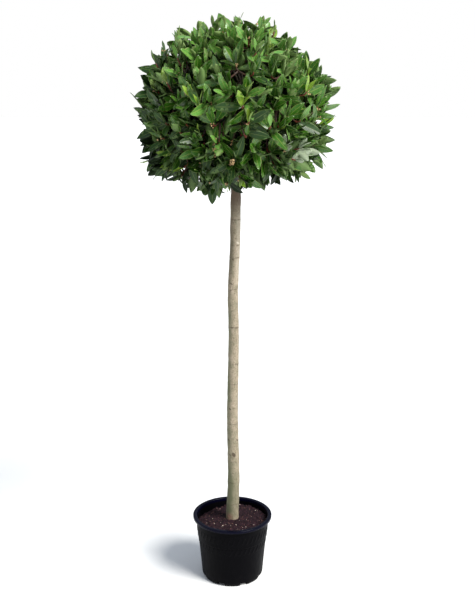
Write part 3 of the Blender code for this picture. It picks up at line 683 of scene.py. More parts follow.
def trunk_radius(height):
    """Thickest at the foot, falling by a power of the height, with a short flare at the roots."""
    share = np.clip((height - COMPOST_TOP) / (TRUNK_HEAD_HEIGHT - COMPOST_TOP), 0.0, 1.0)
    flare = ROOT_FLARE * np.exp(-np.maximum(height - COMPOST_TOP, 0.0) / ROOT_FLARE_HEIGHT)
    stem = TRUNK_HEAD_RADIUS + TRUNK_SWELL * (1 - share) ** TRUNK_SWELL_POWER + flare
    rise = (height - TRUNK_HEAD_HEIGHT) / (TRUNK_TIP_HEIGHT - TRUNK_HEAD_HEIGHT)
    return np.where(rise > 0, TRUNK_HEAD_RADIUS + rise * (TRUNK_TIP_RADIUS - TRUNK_HEAD_RADIUS), stem)


def limbs(paths, radii, sides):
    """Round limbs, one for each path of points: a ring of sides at each point, square to the path.

    Returns the points, shaped limb x ring x side, and the faces with a cap at both ends.
    """
    count, rings, _ = paths.shape
    along = unit(np.gradient(paths, axis=1))
    steep = np.abs(unit(paths[:, -1] - paths[:, 0])[:, 2:]) > 0.8
    helper = np.where(steep, [[1.0, 0, 0]], [[0, 0, 1.0]])
    up = unit(np.cross(along, np.cross(helper[:, None], along)))
    side = np.cross(up, along)
    turn = (np.arange(sides) * 2 * math.pi / sides)[:, None]
    out = up[:, :, None] * np.cos(turn) - side[:, :, None] * np.sin(turn)
    points = paths[:, :, None] + out * np.broadcast_to(radii, (count, rings, sides))[..., None]
    one = ring_faces(rings, sides)
    offsets = np.arange(count) * rings * sides
    faces = (one[None] + offsets[:, None, None]).reshape(-1, 4)[:, ::-1].tolist()
    first = offsets[:, None] + np.arange(sides)[::-1]
    last = offsets[:, None] + (rings - 1) * sides + np.arange(sides)
    return points, faces + first.tolist() + last.tolist()


def turn_from(degrees, bearing):
    """How far round each bearing lies from one given in degrees, between minus pi and pi."""
    return np.angle(np.exp(1j * (bearing - math.radians(degrees))))


def bark_relief(height, bearing, radius):
    """Swelling and darkness of the bark: a ridge with a groove at each ring, a boss at each knot."""
    swelling, scar = np.zeros_like(height), np.zeros_like(height)
    for level, darkness, tilt, darkest in LEAF_RINGS:
        wander = 0.0007 * np.sin(3 * bearing + level * 90) + tilt * np.cos(bearing)
        away = height - level - wander
        cover = 0.45 + 0.55 * np.cos(bearing - math.radians(darkest))
        cover *= 0.75 + 0.25 * np.sin(7 * bearing + level * 50)
        ridge = 0.00050 * np.exp(-((away / 0.0042) ** 2))
        groove = 0.00042 * np.exp(-((away / 0.0011) ** 2))
        swelling += (ridge - groove) * darkness
        scar += 1.25 * darkness * np.clip(cover, 0.0, 1.0) * np.exp(-((away / 0.0018) ** 2))
    for level, bearing_at, half_height, half_width, boss, darkness in KNOTS:
        across = turn_from(bearing_at, bearing) * radius
        up = height - level
        spread = (up / half_height) ** 2 + (across / half_width) ** 2
        eye = ((up + across * 0.5) / (0.5 * half_height)) ** 2 + (across / (0.7 * half_width)) ** 2
        swelling += boss * (np.exp(-spread / 2.5) - 1.1 * np.exp(-eye * 1.6))
        scar += darkness * np.exp(-eye)
    return swelling, scar


def make_bark():
    """Beige bark with fine specks. Attributes give the scars, a painted highlight on the upper right, the
    green of the bark with painted shade on the left and low down, and the brown top with painted shade on the
    upper left.
    """
    bark = plain_material("bay_bark", BARK_BEIGE, 0.78, 0.3)

    def amount(name):
        """What set_amounts stored under the name."""
        return node_of(bark, "ShaderNodeAttribute", attribute_name=name).outputs["Fac"]

    specks = noise_of(bark, 0.0042, (1, 1, 1.4), 6.0, 0.72)
    clouds = noise_of(bark, 0.012, (1, 1, 1.8), 6.0, 0.70)
    strokes = noise_of(bark, 0.0050, (1, 1, 4.5), 3.0)
    colour = ramp_of(bark, clouds, [(0.34, BARK_BEIGE), (0.66, BARK_PALE)])
    colour = mix_of(bark, 1.0, colour, ramp_of(bark, specks, BARK_FLECKS), "MULTIPLY")
    streak = ramp_of(bark, strokes, [(0.34, (0.80, 0.79, 0.76)), (0.58, (1.0, 1.0, 1.0))])
    colour = mix_of(bark, 0.8, colour, streak, "MULTIPLY")
    # Green bark, which also paints the shade on the left side and low down.
    green = mix_of(bark, 0.55, amount("green_side"), specks, "MULTIPLY")
    green = ramp_of(bark, mix_of(bark, 0.5, amount("green_side"), green), [(0.05, 0.0), (0.75, 0.95)])
    colour = mix_of(bark, green, colour, BARK_GREEN_AND_SHADE)
    # The brown near the head, which also paints the shade on the upper left.
    brown = ramp_of(bark, amount("brown_top"), [(0.0, 0.0), (1.0, 0.92)])
    colour = mix_of(bark, brown, colour, BARK_BROWN_AND_SHADE)
    colour = mix_of(bark, amount("red_patch"), colour, BARK_RED)
    # A painted highlight on the upper right, where the sun falls.
    pale = ramp_of(bark, amount("pale_scar"), [(0.1, 0.0), (0.9, 0.9)])
    colour = mix_of(bark, pale, colour, BARK_HIGHLIGHT)
    patchy = ramp_of(bark, specks, [(0.3, 1.35), (0.65, 0.35)])
    ragged = mix_of(bark, 0.75, amount("scar"), patchy, "MULTIPLY")
    colour = mix_of(bark, ramp_of(bark, ragged, [(0.08, 0.0), (0.75, 0.9)]), colour, BARK_SCAR)
    relief = bump_of(bark, strokes, 0.0006, 0.5, bump_of(bark, specks, 0.0004, 0.7))
    join_up(bark, Base_Color=colour, Normal=relief)
    return bark


def set_amounts(piece, **amounts):
    """Stores one number a vertex under each name, for the materials to read."""
    for name, values in amounts.items():
        layer = piece.data.attributes.new(name, "FLOAT", "POINT")
        layer.data.foreach_set("value", np.clip(values, 0.0, 1.0).astype(np.float32).ravel())


def make_trunk(bark):
    """The stem: rings round its axis at its radius, with the bark's swelling and lumps added."""
    levels = np.arange(COMPOST_TOP - TRUNK_SINK, TRUNK_TIP_HEIGHT, TRUNK_STEP)
    levels = np.append(levels, TRUNK_TIP_HEIGHT)
    middle = trunk_middle(levels)
    points, faces = limbs(middle[None], np.array(1.0), TRUNK_SIDES)
    out = unit((points - middle[None, :, None]) * [1, 1, 0])
    bearing = np.arctan2(out[..., 1], out[..., 0])
    height = np.broadcast_to(levels[None, :, None], bearing.shape)
    radius = trunk_radius(height)
    swelling, scar = bark_relief(height, bearing, radius)
    round_stem = middle[None, :, None] + out * radius[..., None]
    lumps = ripples(round_stem, 8, (0.009, 0.025, 0.060)) * 0.018
    points = middle[None, :, None] + out * (radius + swelling + lumps)[..., None]
    trunk = add_piece("stem_bark", points.reshape(-1, 3), faces, [bark])
    # The green of the bark also paints shade: it is strongest on the stem's left side and low down, where it
    # darkens the beige.
    low = smooth_step(1.05, 0.25, height)
    facing = np.cos(bearing - math.radians(192))
    green = smooth_step(0.10, 0.95, facing) * (0.58 - 0.10 * low)
    green += 0.45 * smooth_step(0.45, 0.95, facing) * np.exp(-(((height - 0.74) / 0.16) ** 2))
    green += 0.45 * smooth_step(0.50, 0.22, height) * (0.6 + 0.4 * np.sin(2 * bearing))
    green += 0.30 * smooth_step(0.80, 0.42, height)
    green *= 0.65 + 0.7 * ripples(round_stem, 9, (0.05, 0.12)) * 14
    # Painted shade: the upper stem's left side, under the head, is browned darker.
    shade = 0.60 * smooth_step(0.2, 1.0, facing) * smooth_step(0.95, 1.20, height)
    # Painted highlight: the upper stem's right side, where the sun falls, is lightened, except on its scars.
    highlight_amount = smooth_step(0.35, 1.0, np.cos(bearing - math.radians(-32)))
    highlight_amount *= 0.34 * smooth_step(1.00, 1.14, height) * smooth_step(1.345, 1.29, height)
    foot = ((height - 0.226) / 0.011) ** 2 + (turn_from(-122, bearing) / 0.55) ** 2
    set_amounts(
        trunk,
        scar=scar,
        pale_scar=highlight_amount - scar,
        green_side=green,
        brown_top=np.maximum(shade, smooth_step(1.275, 1.375, height + 0.010 * np.sin(2 * bearing))),
        red_patch=0.75 * np.exp(-foot) + 0.45 * smooth_step(0.2185, 0.2125, height),
    )
    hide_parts("trunk")
    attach(trunk, "root")


def crown_reach(directions):
    """From the head's centre to its clipped outline: an ellipse above, squarer below.

    For each unit direction: (flat ** power + upright ** power) ** (-1 / power), where flat and
    upright are its level and vertical parts as shares of the head's half sizes.
    """
    above = directions[..., 2] >= 0
    flat = np.hypot(directions[..., 0], directions[..., 1]) / CROWN_RADIUS
    upright = np.abs(directions[..., 2]) / np.where(above, CROWN_RISE, CROWN_DROP)
    power = np.where(above, CROWN_TOP_POWER, CROWN_FOOT_POWER)
    return (flat**power + upright**power) ** (-1 / power)


bough_bearings = SIDE_BOUGH_BEARING + np.arange(SIDE_BOUGHS) * 2 * math.pi / SIDE_BOUGHS
bough_ways = np.stack([np.cos(bough_bearings), np.sin(bough_bearings), 0 * bough_bearings], -1)
bough_ways = bough_ways * math.cos(SIDE_BOUGH_ELEVATION) + [0, 0, math.sin(SIDE_BOUGH_ELEVATION)]
bough_ways = np.concatenate([[[0.0, 0.0, 1.0]], bough_ways])


def bent(start, middle, end, shares):
    """Points at shares of a quadratic curve from start to end that leans towards middle."""
    t = shares[..., None]
    return (1 - t) ** 2 * start + 2 * t * (1 - t) * middle + t**2 * end


def bough_paths():
    """The leader goes straight up. A side bough leaves the stem, dips outwards and rises to its tip."""
    reach = crown_reach(bough_ways)[:, None] * HOLLOW_SHARE - BOUGH_END_GAP
    tips = CROWN_CENTRE + bough_ways * reach
    steps = np.arange(SIDE_BOUGHS) * 2 % SIDE_BOUGHS * FORK_STEP + FORK_HEIGHT
    roots = trunk_middle(np.concatenate([[TRUNK_TIP_HEIGHT - 0.002], steps]))
    outward = unit(bough_ways * [1, 1, 0] + [1e-9, 0, 0]) * BOUGH_LEAN - [0, 0, BOUGH_DIP]
    outward[0] = 0.0
    shares = np.linspace(0, 1, BOUGH_POINTS)[None]
    return bent(roots[:, None], ((roots + tips) / 2 + outward)[:, None], tips[:, None], shares)


def make_boughs(bark):
    """The leader and the side boughs as tapering limbs with lumps, ringed along their length."""
    paths = bough_paths()
    share = np.linspace(0, 1, BOUGH_POINTS)[None, :, None]
    start = np.where(np.arange(SIDE_BOUGHS + 1) == 0, TRUNK_TIP_RADIUS, BOUGH_RADIUS)[:, None, None]
    radii = start + (BOUGH_TIP_RADIUS - start) * share
    collar = np.where(start < TRUNK_TIP_RADIUS, 0.0045 * np.exp(-(((share - 0.08) / 0.10) ** 2)), 0.0)
    points, _ = limbs(paths, radii + collar, BOUGH_SIDES)
    lumps = ripples(points, 14, (0.008, 0.020)) * 0.035
    nodes = 0.00035 * np.exp(-((np.sin(share * 34) / 0.35) ** 2))
    points, faces = limbs(paths, radii + collar + lumps + nodes, BOUGH_SIDES)
    boughs = add_piece("bough_bark", points.reshape(-1, 3), faces, [bark])
    ones = np.ones(points.shape[:3])
    scar = 0.6 * np.exp(-((np.sin(share * 34) / 0.22) ** 2)) * ones
    set_amounts(boughs, scar=scar, pale_scar=0 * ones, green_side=0.35 * ones)
    set_amounts(boughs, brown_top=0.55 * ones, red_patch=0 * ones)
    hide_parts(*("bough_" + name for name in MASS_NAMES))
    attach(boughs, "root")


bay_bark = make_bark()
make_trunk(bay_bark)
make_boughs(bay_bark)


# ---------------------------------------------------------------- branches, twigs and shoots
# For each layer of leaves every bough has five branches, each branch four twigs and each twig
# its shoots, the outer ones ending just inside the clipped outline. Old wood is grey-brown and
# new shoots are red.

BRANCH_SHARE = 0.605
TWIG_SHARE = 0.77
BRANCHES_PER_MASS = 5
TWIGS_PER_BRANCH = 4
GOLDEN_ANGLE = math.radians(137.50776)
SHOOT_LAYERS = (  # shoots, where the tips stand as a share of the outline, metres that varies by
    (390, 1.00, 0.030),  # the outer layer
    (200, 0.78, 0.030),  # the inner one
    (170, 0.91, 0.020),  # the middle one
)
SHOOT_SETBACK = 0.058
CLIPPED_SHORT = (  # bearing in the plane across the sight line, width in degrees, share of the reach
    (33, 24, 0.165),
    (56, 12, 0.060),
    (78, 14, 0.120),
    (94, 10, 0.130),
    (113, 9, -0.160),
    (134, 18, 0.030),
    (154, 14, 0.180),
    (170, 12, 0.135),
    (197, 14, 0.190),
    (213, 9, -0.160),
    (242, 12, -0.330),
    (262, 10, 0.175),
    (297, 22, 0.270),
    (340, 14, 0.200),
)
SHOOT_STRAY = 0.11
TIP_OVERSHOOT = 0.022
BARE_REACH = 0.020  # a shoot this far from leaving the head is cut back
TRUNK_CLEARANCE = 0.004
HANGING_LEAF_ROOT = (-0.058, -0.092, 1.433)
OLD_WOOD = (0.050, 0.034, 0.024)
YOUNG_WOOD = (0.075, 0.030, 0.016)
RED_WOOD = (0.180, 0.032, 0.018)
WORN_WOOD = (0.085, 0.068, 0.050)
DARK_RED_WOOD = (0.110, 0.040, 0.018)
BRANCH_RADII = (0.0044, 0.0034)
TWIG_RADII = (0.0032, 0.0025)
OLD_SHOOT_RADII = (0.0030, 0.0029)
YOUNG_SHOOT_RADII = (0.0031, 0.0020)
FOLIAGE_NODES = tuple("foliage_" + name for name in MASS_NAMES)


def spread_directions(count, draw):
    """An even spiral of directions over the whole head, a golden angle apart, each nudged a little."""
    height = 1 - 2 * (np.arange(count) + 0.5) / count
    flat = np.sqrt(1 - height**2)
    bearing = np.arange(count) * GOLDEN_ANGLE
    even = np.stack([flat * np.cos(bearing), flat * np.sin(bearing), height], -1)
    return unit(even + draw.uniform(-1, 1, even.shape) * 0.05)


def clipped_share(ways):
    """How much of the full reach the shears left in each direction: one, less soft dents and ripples.

    A dent of a given width falls off as exp(-(1 - cosine) / (1 - cos(width))).
    """
    share = 0.985 + 0.17 * ripples(ways, 41, (0.25, 0.6))
    for bearing, width, depth in CLIPPED_SHORT:
        turn, dip = math.radians(bearing), math.radians(CAMERA_DIP)
        middle = np.array([math.cos(turn), math.sin(turn) * math.sin(dip), math.sin(turn) * math.cos(dip)])
        share = share - depth * np.exp(-(1 - ways @ middle) / (1 - math.cos(math.radians(width))))
    return share


def equal_groups(order, count):
    """The group of each item, when items in this order are dealt into count equal runs."""
    group = np.empty(len(order), dtype=int)
    group[order] = np.arange(len(order)) * count // max(len(order), 1)
    return group


def grow_head():
    """Wood paths and shoots by one rule, from the boughs outwards.

    A shoot belongs to the bough nearest in direction. A bough's shoots, sorted round its middle,
    are dealt to branches, and a branch's shoots, sorted outwards, to twigs. A joint stands in the
    mean direction of what it carries, drawn towards its parent, at a fixed share of the reach.
    A shoot is six rows: its start, bend and tip, its direction from the centre, the direction it
    grows in, and its layer.
    """
    draw = np.random.default_rng(55)
    wood = {"branch": [], "twig": []}
    shoots = []
    bough_tips = bough_paths()[:, -1]
    for layer, (count, share_out, vary) in enumerate(SHOOT_LAYERS):
        ways = spread_directions(count, draw)
        owner = np.argmax(ways @ bough_ways.T, axis=1)
        for bough in range(SIDE_BOUGHS + 1):
            mine = ways[owner == bough]
            heading = bough_ways[bough]
            right = unit(np.cross(heading, [0.31, 0.17, 0.92]))
            turn = np.arctan2(mine @ right, mine @ np.cross(heading, right))
            branch_of = equal_groups(np.argsort(turn), BRANCHES_PER_MASS)
            for branch in range(BRANCHES_PER_MASS):
                held = mine[branch_of == branch]
                middle = unit(held.mean(0) + heading * 0.6)
                joint = CROWN_CENTRE + middle * crown_reach(middle) * BRANCH_SHARE
                wood["branch"].append((bough_tips[bough], joint, heading))
                twig_of = equal_groups(np.argsort(held @ heading), TWIGS_PER_BRANCH)
                for twig in range(TWIGS_PER_BRANCH):
                    last = held[twig_of == twig]
                    if not len(last):
                        continue
                    centre = unit(last.mean(0) + middle * 0.25)
                    share = TWIG_SHARE if share_out > 0.9 else BRANCH_SHARE + 0.03
                    fork = CROWN_CENTRE + centre * crown_reach(centre) * share
                    wood["twig"].append((joint, fork, middle))
                    reach = (crown_reach(last) * clipped_share(last))[:, None] * share_out
                    lift = smooth_step(-0.80, -0.05, last[:, 2:]) * 1.25 - 0.10
                    stray = draw.uniform(-1, 1, last.shape) * SHOOT_STRAY
                    splay = smooth_step(-0.35, -0.80, last[:, 2:]) * 0.75
                    grows = unit(last + lift * [0, 0, 1] + splay * unit(last * [1, 1, 0]) + stray)
                    back = SHOOT_SETBACK + draw.normal(0, 1, (len(last), 1)) * vary
                    tips = CROWN_CENTRE + last * reach - grows * np.clip(back, 0.010, 0.09)
                    bend = tips - grows * 0.45 * np.linalg.norm(tips - fork, axis=1, keepdims=True)
                    starts = np.broadcast_to(fork, tips.shape)
                    shoots.append(np.stack([starts, bend, tips, last, grows], 1))
                    shoots[-1] = np.concatenate([shoots[-1], np.full((len(last), 1, 3), float(layer))], 1)
    return wood, np.concatenate(shoots)


def within_head(points):
    """Inside the clipped outline with its overshoot, and clear of the stem."""
    offset = points - CROWN_CENTRE
    far = np.linalg.norm(offset, axis=-1)
    inside = far < crown_reach(offset / far[..., None]) + TIP_OVERSHOOT
    axis = trunk_middle(points[..., 2])
    away = np.hypot(points[..., 0] - axis[..., 0], points[..., 1] - axis[..., 1])
    clear = away > trunk_radius(points[..., 2]) + TRUNK_CLEARANCE
    return inside & (clear | (points[..., 2] > TRUNK_TIP_HEIGHT + 0.01))


def wood_paths(joints, points):
    """Curved runs between joints: each sets off along its parent's direction, then turns to its end."""
    starts, ends, ways = (np.array(part) for part in zip(*joints))
    length = np.linalg.norm(ends - starts, axis=1, keepdims=True)
    bend = starts + ways * length * 0.4
    return bent(starts[:, None], bend[:, None], ends[:, None], np.linspace(0, 1, points)[None])


def tapered(ends, points):
    """Radii from one end of a limb to the other, shaped for limbs."""
    return np.linspace(*ends, points)[None, :, None]


def make_wood_finish(name, colour, other):
    """Two tones in soft patches under a fine lengthwise grain."""
    finish = plain_material(name, colour, 0.6, 0.4)
    tone = noise_of(finish, 0.012, detail=4.0)
    grain = noise_of(finish, 0.0016, (1, 1, 3), 4.0)
    mixed = mix_of(finish, ramp_of(finish, tone, [(0.38, 0.0), (0.62, 1.0)]), colour, other)
    join_up(finish, Base_Color=mixed, Normal=bump_of(finish, grain, 0.0004, 0.6))
    return finish


head_wood, shoots = grow_head()
branches = limbs(wood_paths(head_wood["branch"], 8), tapered(BRANCH_RADII, 8), 8)
twigs = limbs(wood_paths(head_wood["twig"], 6), tapered(TWIG_RADII, 6), 6)
shoot_shares = np.linspace(0, 0.55, 5)[None]
young_shares = np.linspace(0.53, 1.0, 5)[None]
hanging_root = np.array(HANGING_LEAF_ROOT)
hanging_way = unit(hanging_root - CROWN_CENTRE)
hanging_start = CROWN_CENTRE + hanging_way * crown_reach(hanging_way) * BRANCH_SHARE
hanging_bend = (hanging_start + hanging_root) / 2 + [-0.006, -0.008, 0.0]
hanging_shoot = np.stack([hanging_start, hanging_bend, hanging_root])
shoot_ends = [np.concatenate([shoots[:, i], hanging_shoot[i : i + 1]])[:, None] for i in range(3)]
leafy = within_head(shoots[:, 2] + shoots[:, 4] * BARE_REACH)  # the others lost their tips
leafy = np.append(leafy, True)
leafy_ends = [ends[leafy] for ends in shoot_ends]
old_shoots = limbs(bent(*shoot_ends, shoot_shares), tapered(OLD_SHOOT_RADII, 5), 5)
young_shoots = limbs(bent(*leafy_ends, young_shares), tapered(YOUNG_SHOOT_RADII, 5), 5)

wood_parts = (
    ("branches", [branches, twigs], "old_wood", OLD_WOOD, WORN_WOOD),
    ("old_shoots", [old_shoots], "grey_shoots", YOUNG_WOOD, OLD_WOOD),
    ("young_shoots", [young_shoots], "red_shoots", RED_WOOD, DARK_RED_WOOD),
)
for part_name, parts, finish_name, colour, other in wood_parts:
    all_points, all_faces, base = [], [], 0
    for part_points, part_faces in parts:
        all_points.append(part_points.reshape(-1, 3))
        all_faces += [[corner + base for corner in face] for face in part_faces]
        base += len(all_points[-1])
    finish = make_wood_finish(finish_name, colour, other)
    wood_piece = add_piece(part_name, np.concatenate(all_points), all_faces, [finish])
    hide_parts(*FOLIAGE_NODES)
    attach(wood_piece, "root")


# ---------------------------------------------------------------- leaves
# Bay leaves: stiff, glossy and leathery, four to nine centimetres long, folded a little along a
# pale midrib, with a thin pale wavy edge. They spiral up each shoot, smaller towards its tip.

LEAVES_PER_SHOOT = 7
LEAF_SPACING = 0.0100
LEAF_LENGTHS = (0.045, 0.064, 0.077, 0.083, 0.086, 0.087, 0.085)
LEAF_SPREADS = (10, 21, 29, 36, 43, 49, 55)  # degrees from the shoot, from its tip down
LEAF_ROWS = (0.06, 0.17, 0.32, 0.48, 0.64, 0.79, 0.91)
LEAF_COLUMNS = (-1.0, -0.86, -0.075, 0.075, 0.86, 1.0)
LEAF_THICKNESS = 0.0009
LEAF_SHAPES = (  # least and most, as shares of the length
    (0.32, 0.43),  # width
    (0.06, 0.30),  # fold
    (0.02, 0.18),  # droop
    (0.006, 0.022),  # wave
)
LEAVES_PER_PIECE = 1900
HANGING_LEAF_TIP = (-0.0635, -0.088, 1.346)
HANGING_LEAF_FACING = (-0.3, -1.0, 0.0)
# The leaves of the turned spray show their pale undersides; their tone is paler still as a painted sheen.
TURNED_SPRAY = (0.166, -0.205, 1.522)  # about here the leaves show their pale undersides
TURNED_SPRAY_RADIUS = 0.044
# Places in the camera's frame where the sky shows between the leaves.
SKY_GAPS = ((241, 136), (185, 171), (199, 178.5), (297, 149.5), (171, 55), (207, 26), (318, 121))
SKY_GAP_RADIUS = 0.0110  # no leaf's middle line comes this near to the line of sight
CLEARED_GAPS = ((185, 171),)
CLEARED_GAP_RADIUS = 0.0065  # no part of a blade comes this near
FRAME_MIDDLE = (237.5, 300)  # of the camera's frame, in the units of the gaps' places
FRAME_FOCUS = 918  # the focal length in those units
# Limits of light between the painted shaded, half-lit middle and sunlit tones.
TONE_LIMITS = (-0.05, 0.50)  # light at which a leaf is middle and bright
SHOOT_LIGHT = 0.34  # how much the light varies from shoot to shoot
LEAF_LIGHT = 0.16  # and from leaf to leaf
SUN_WAY = unit(np.array([0.33, -0.24, 0.91]))  # towards the light, for the leaves' tones
# The inner, shaded, middle and sunlit tones are one leaf colour painted in shade and light: inner for deep
# shade, sunlit for leaves in the sun.
LEAF_TONES = (  # name, roughness, shine
    ("inner", 0.48, 0.12),
    ("shaded", 0.31, 0.28),
    ("middle", 0.26, 0.50),
    ("sunlit", 0.26, 0.64),
    ("young", 0.33, 0.42),
    ("turned", 0.36, 0.55),
)
DEEP_SHADE, SHADED, YOUNG, TURNED = 0, 1, 4, 5  # rows of LEAF_TONES
LEAF_COLOURS = (  # in the same order: blade, the blade's other tone, midrib and edge, underside
    ((0.004, 0.014, 0.002), (0.007, 0.020, 0.003), (0.018, 0.032, 0.008), (0.020, 0.038, 0.012)),
    ((0.009, 0.037, 0.002), (0.014, 0.052, 0.004), (0.075, 0.124, 0.020), (0.085, 0.145, 0.040)),
    ((0.027, 0.107, 0.006), (0.042, 0.138, 0.009), (0.170, 0.255, 0.045), (0.125, 0.210, 0.060)),
    ((0.086, 0.234, 0.036), (0.122, 0.292, 0.050), (0.265, 0.375, 0.085), (0.175, 0.270, 0.080)),
    ((0.215, 0.355, 0.034), (0.155, 0.285, 0.026), (0.345, 0.465, 0.100), (0.250, 0.370, 0.100)),
    ((0.200, 0.300, 0.130), (0.260, 0.360, 0.190), (0.420, 0.500, 0.330), (0.370, 0.440, 0.300)),
)


def leaf_surfaces(roots, alongs, facings, lengths, widths, folds, droops, waves, twists, phases):
    """Closed thin leaves, each from a point at its stalk through seven rows to a point at its tip.

    At share u of the length the half width is width / 2 * sin(pi * u ** 1.08) ** 0.82, narrowed
    to the stalk by u / (u + 0.05). A row is folded up from the midrib in proportion to the way
    across it, its edges rise and fall with u, the midrib stands a little proud, the whole leaf
    bends back by droop * u ** 2 and turns about its midrib by twist * u.
    """
    count = len(roots)
    u = np.array(LEAF_ROWS)[None, :, None]
    v = np.array(LEAF_COLUMNS + (0.0,))[None, None, :]
    below = np.array([0.0] * len(LEAF_COLUMNS) + [1.0])[None, None, :]
    values = (widths, lengths, folds, droops, waves, twists, phases)
    width, length, fold, droop, wave, twist, phase = (np.asarray(value)[:, None, None] for value in values)
    half = width / 2 * np.maximum(np.sin(math.pi * u**1.08), 0.0) ** 0.82 * (u / (u + 0.05))
    across = v * np.maximum(half, 0.028)
    edge_wave = v**2 * wave * np.sin(3.1 * math.pi * u + phase + 1.1 * v)
    rise = np.abs(across) * fold + edge_wave
    rise = rise - below * (LEAF_THICKNESS / length) - (np.abs(v) < 0.2) * 0.004 * (1 - below)
    turn = twist * u
    side = across * np.cos(turn) - rise * np.sin(turn)
    lift = across * np.sin(turn) + rise * np.cos(turn) - droop * u**2
    forward = u - 0.35 * droop**2 * u**3 + 0 * side
    local = np.stack([forward, side, lift], -1).reshape(count, -1, 3)
    ends = np.zeros((count, 2, 3))
    ends[:, 1, 0] = 1 - 0.35 * droops**2
    ends[:, 1, 2] = -droops
    local = np.concatenate([local, ends], 1) * lengths[:, None, None]
    x_axis = unit(alongs)
    y_axis = unit(np.cross(facings, x_axis))
    axes = np.stack([x_axis, y_axis, np.cross(x_axis, y_axis)], 1)
    return roots[:, None] + local @ axes


def leaf_faces():
    """Quads of one leaf row by row, triangles at its two ends, and the slot of each face."""
    wide = len(LEAF_COLUMNS) + 1
    rows = len(LEAF_ROWS)
    loop = list(range(len(LEAF_COLUMNS))) + [len(LEAF_COLUMNS), 0]
    slots_across = [1, 0, 1, 0, 1, 2, 2]
    faces, slots = [], []
    stalk, tip = rows * wide, rows * wide + 1
    for (a, b), slot in zip(zip(loop, loop[1:]), slots_across):
        faces.append((stalk, b, a))
        for row in range(rows - 1):
            low, high = row * wide, (row + 1) * wide
            faces.append((low + a, low + b, high + b, high + a))
        faces.append((tip, (rows - 1) * wide + a, (rows - 1) * wide + b))
        slots += [slot] * (rows + 1)
    return [face[::-1] for face in faces], slots


def clear_of_sky_gaps(points, gaps, radius):
    """False where a point lies within the radius of the line of sight through an open place."""
    dip = math.radians(CAMERA_DIP)
    right, ahead = np.array([1.0, 0, 0]), np.array([0, math.cos(dip), -math.sin(dip)])
    up = np.cross(right, ahead)
    clear = np.ones(points.shape[:-1], dtype=bool)
    for x, y in gaps:
        way = unit(ahead + (right * (x - FRAME_MIDDLE[0]) + up * (FRAME_MIDDLE[1] - y)) / FRAME_FOCUS)
        offset = points - np.array(CAMERA_PLACE)
        off_line = np.linalg.norm(offset - (offset @ way)[..., None] * way, axis=-1)
        clear &= off_line > radius
    return clear


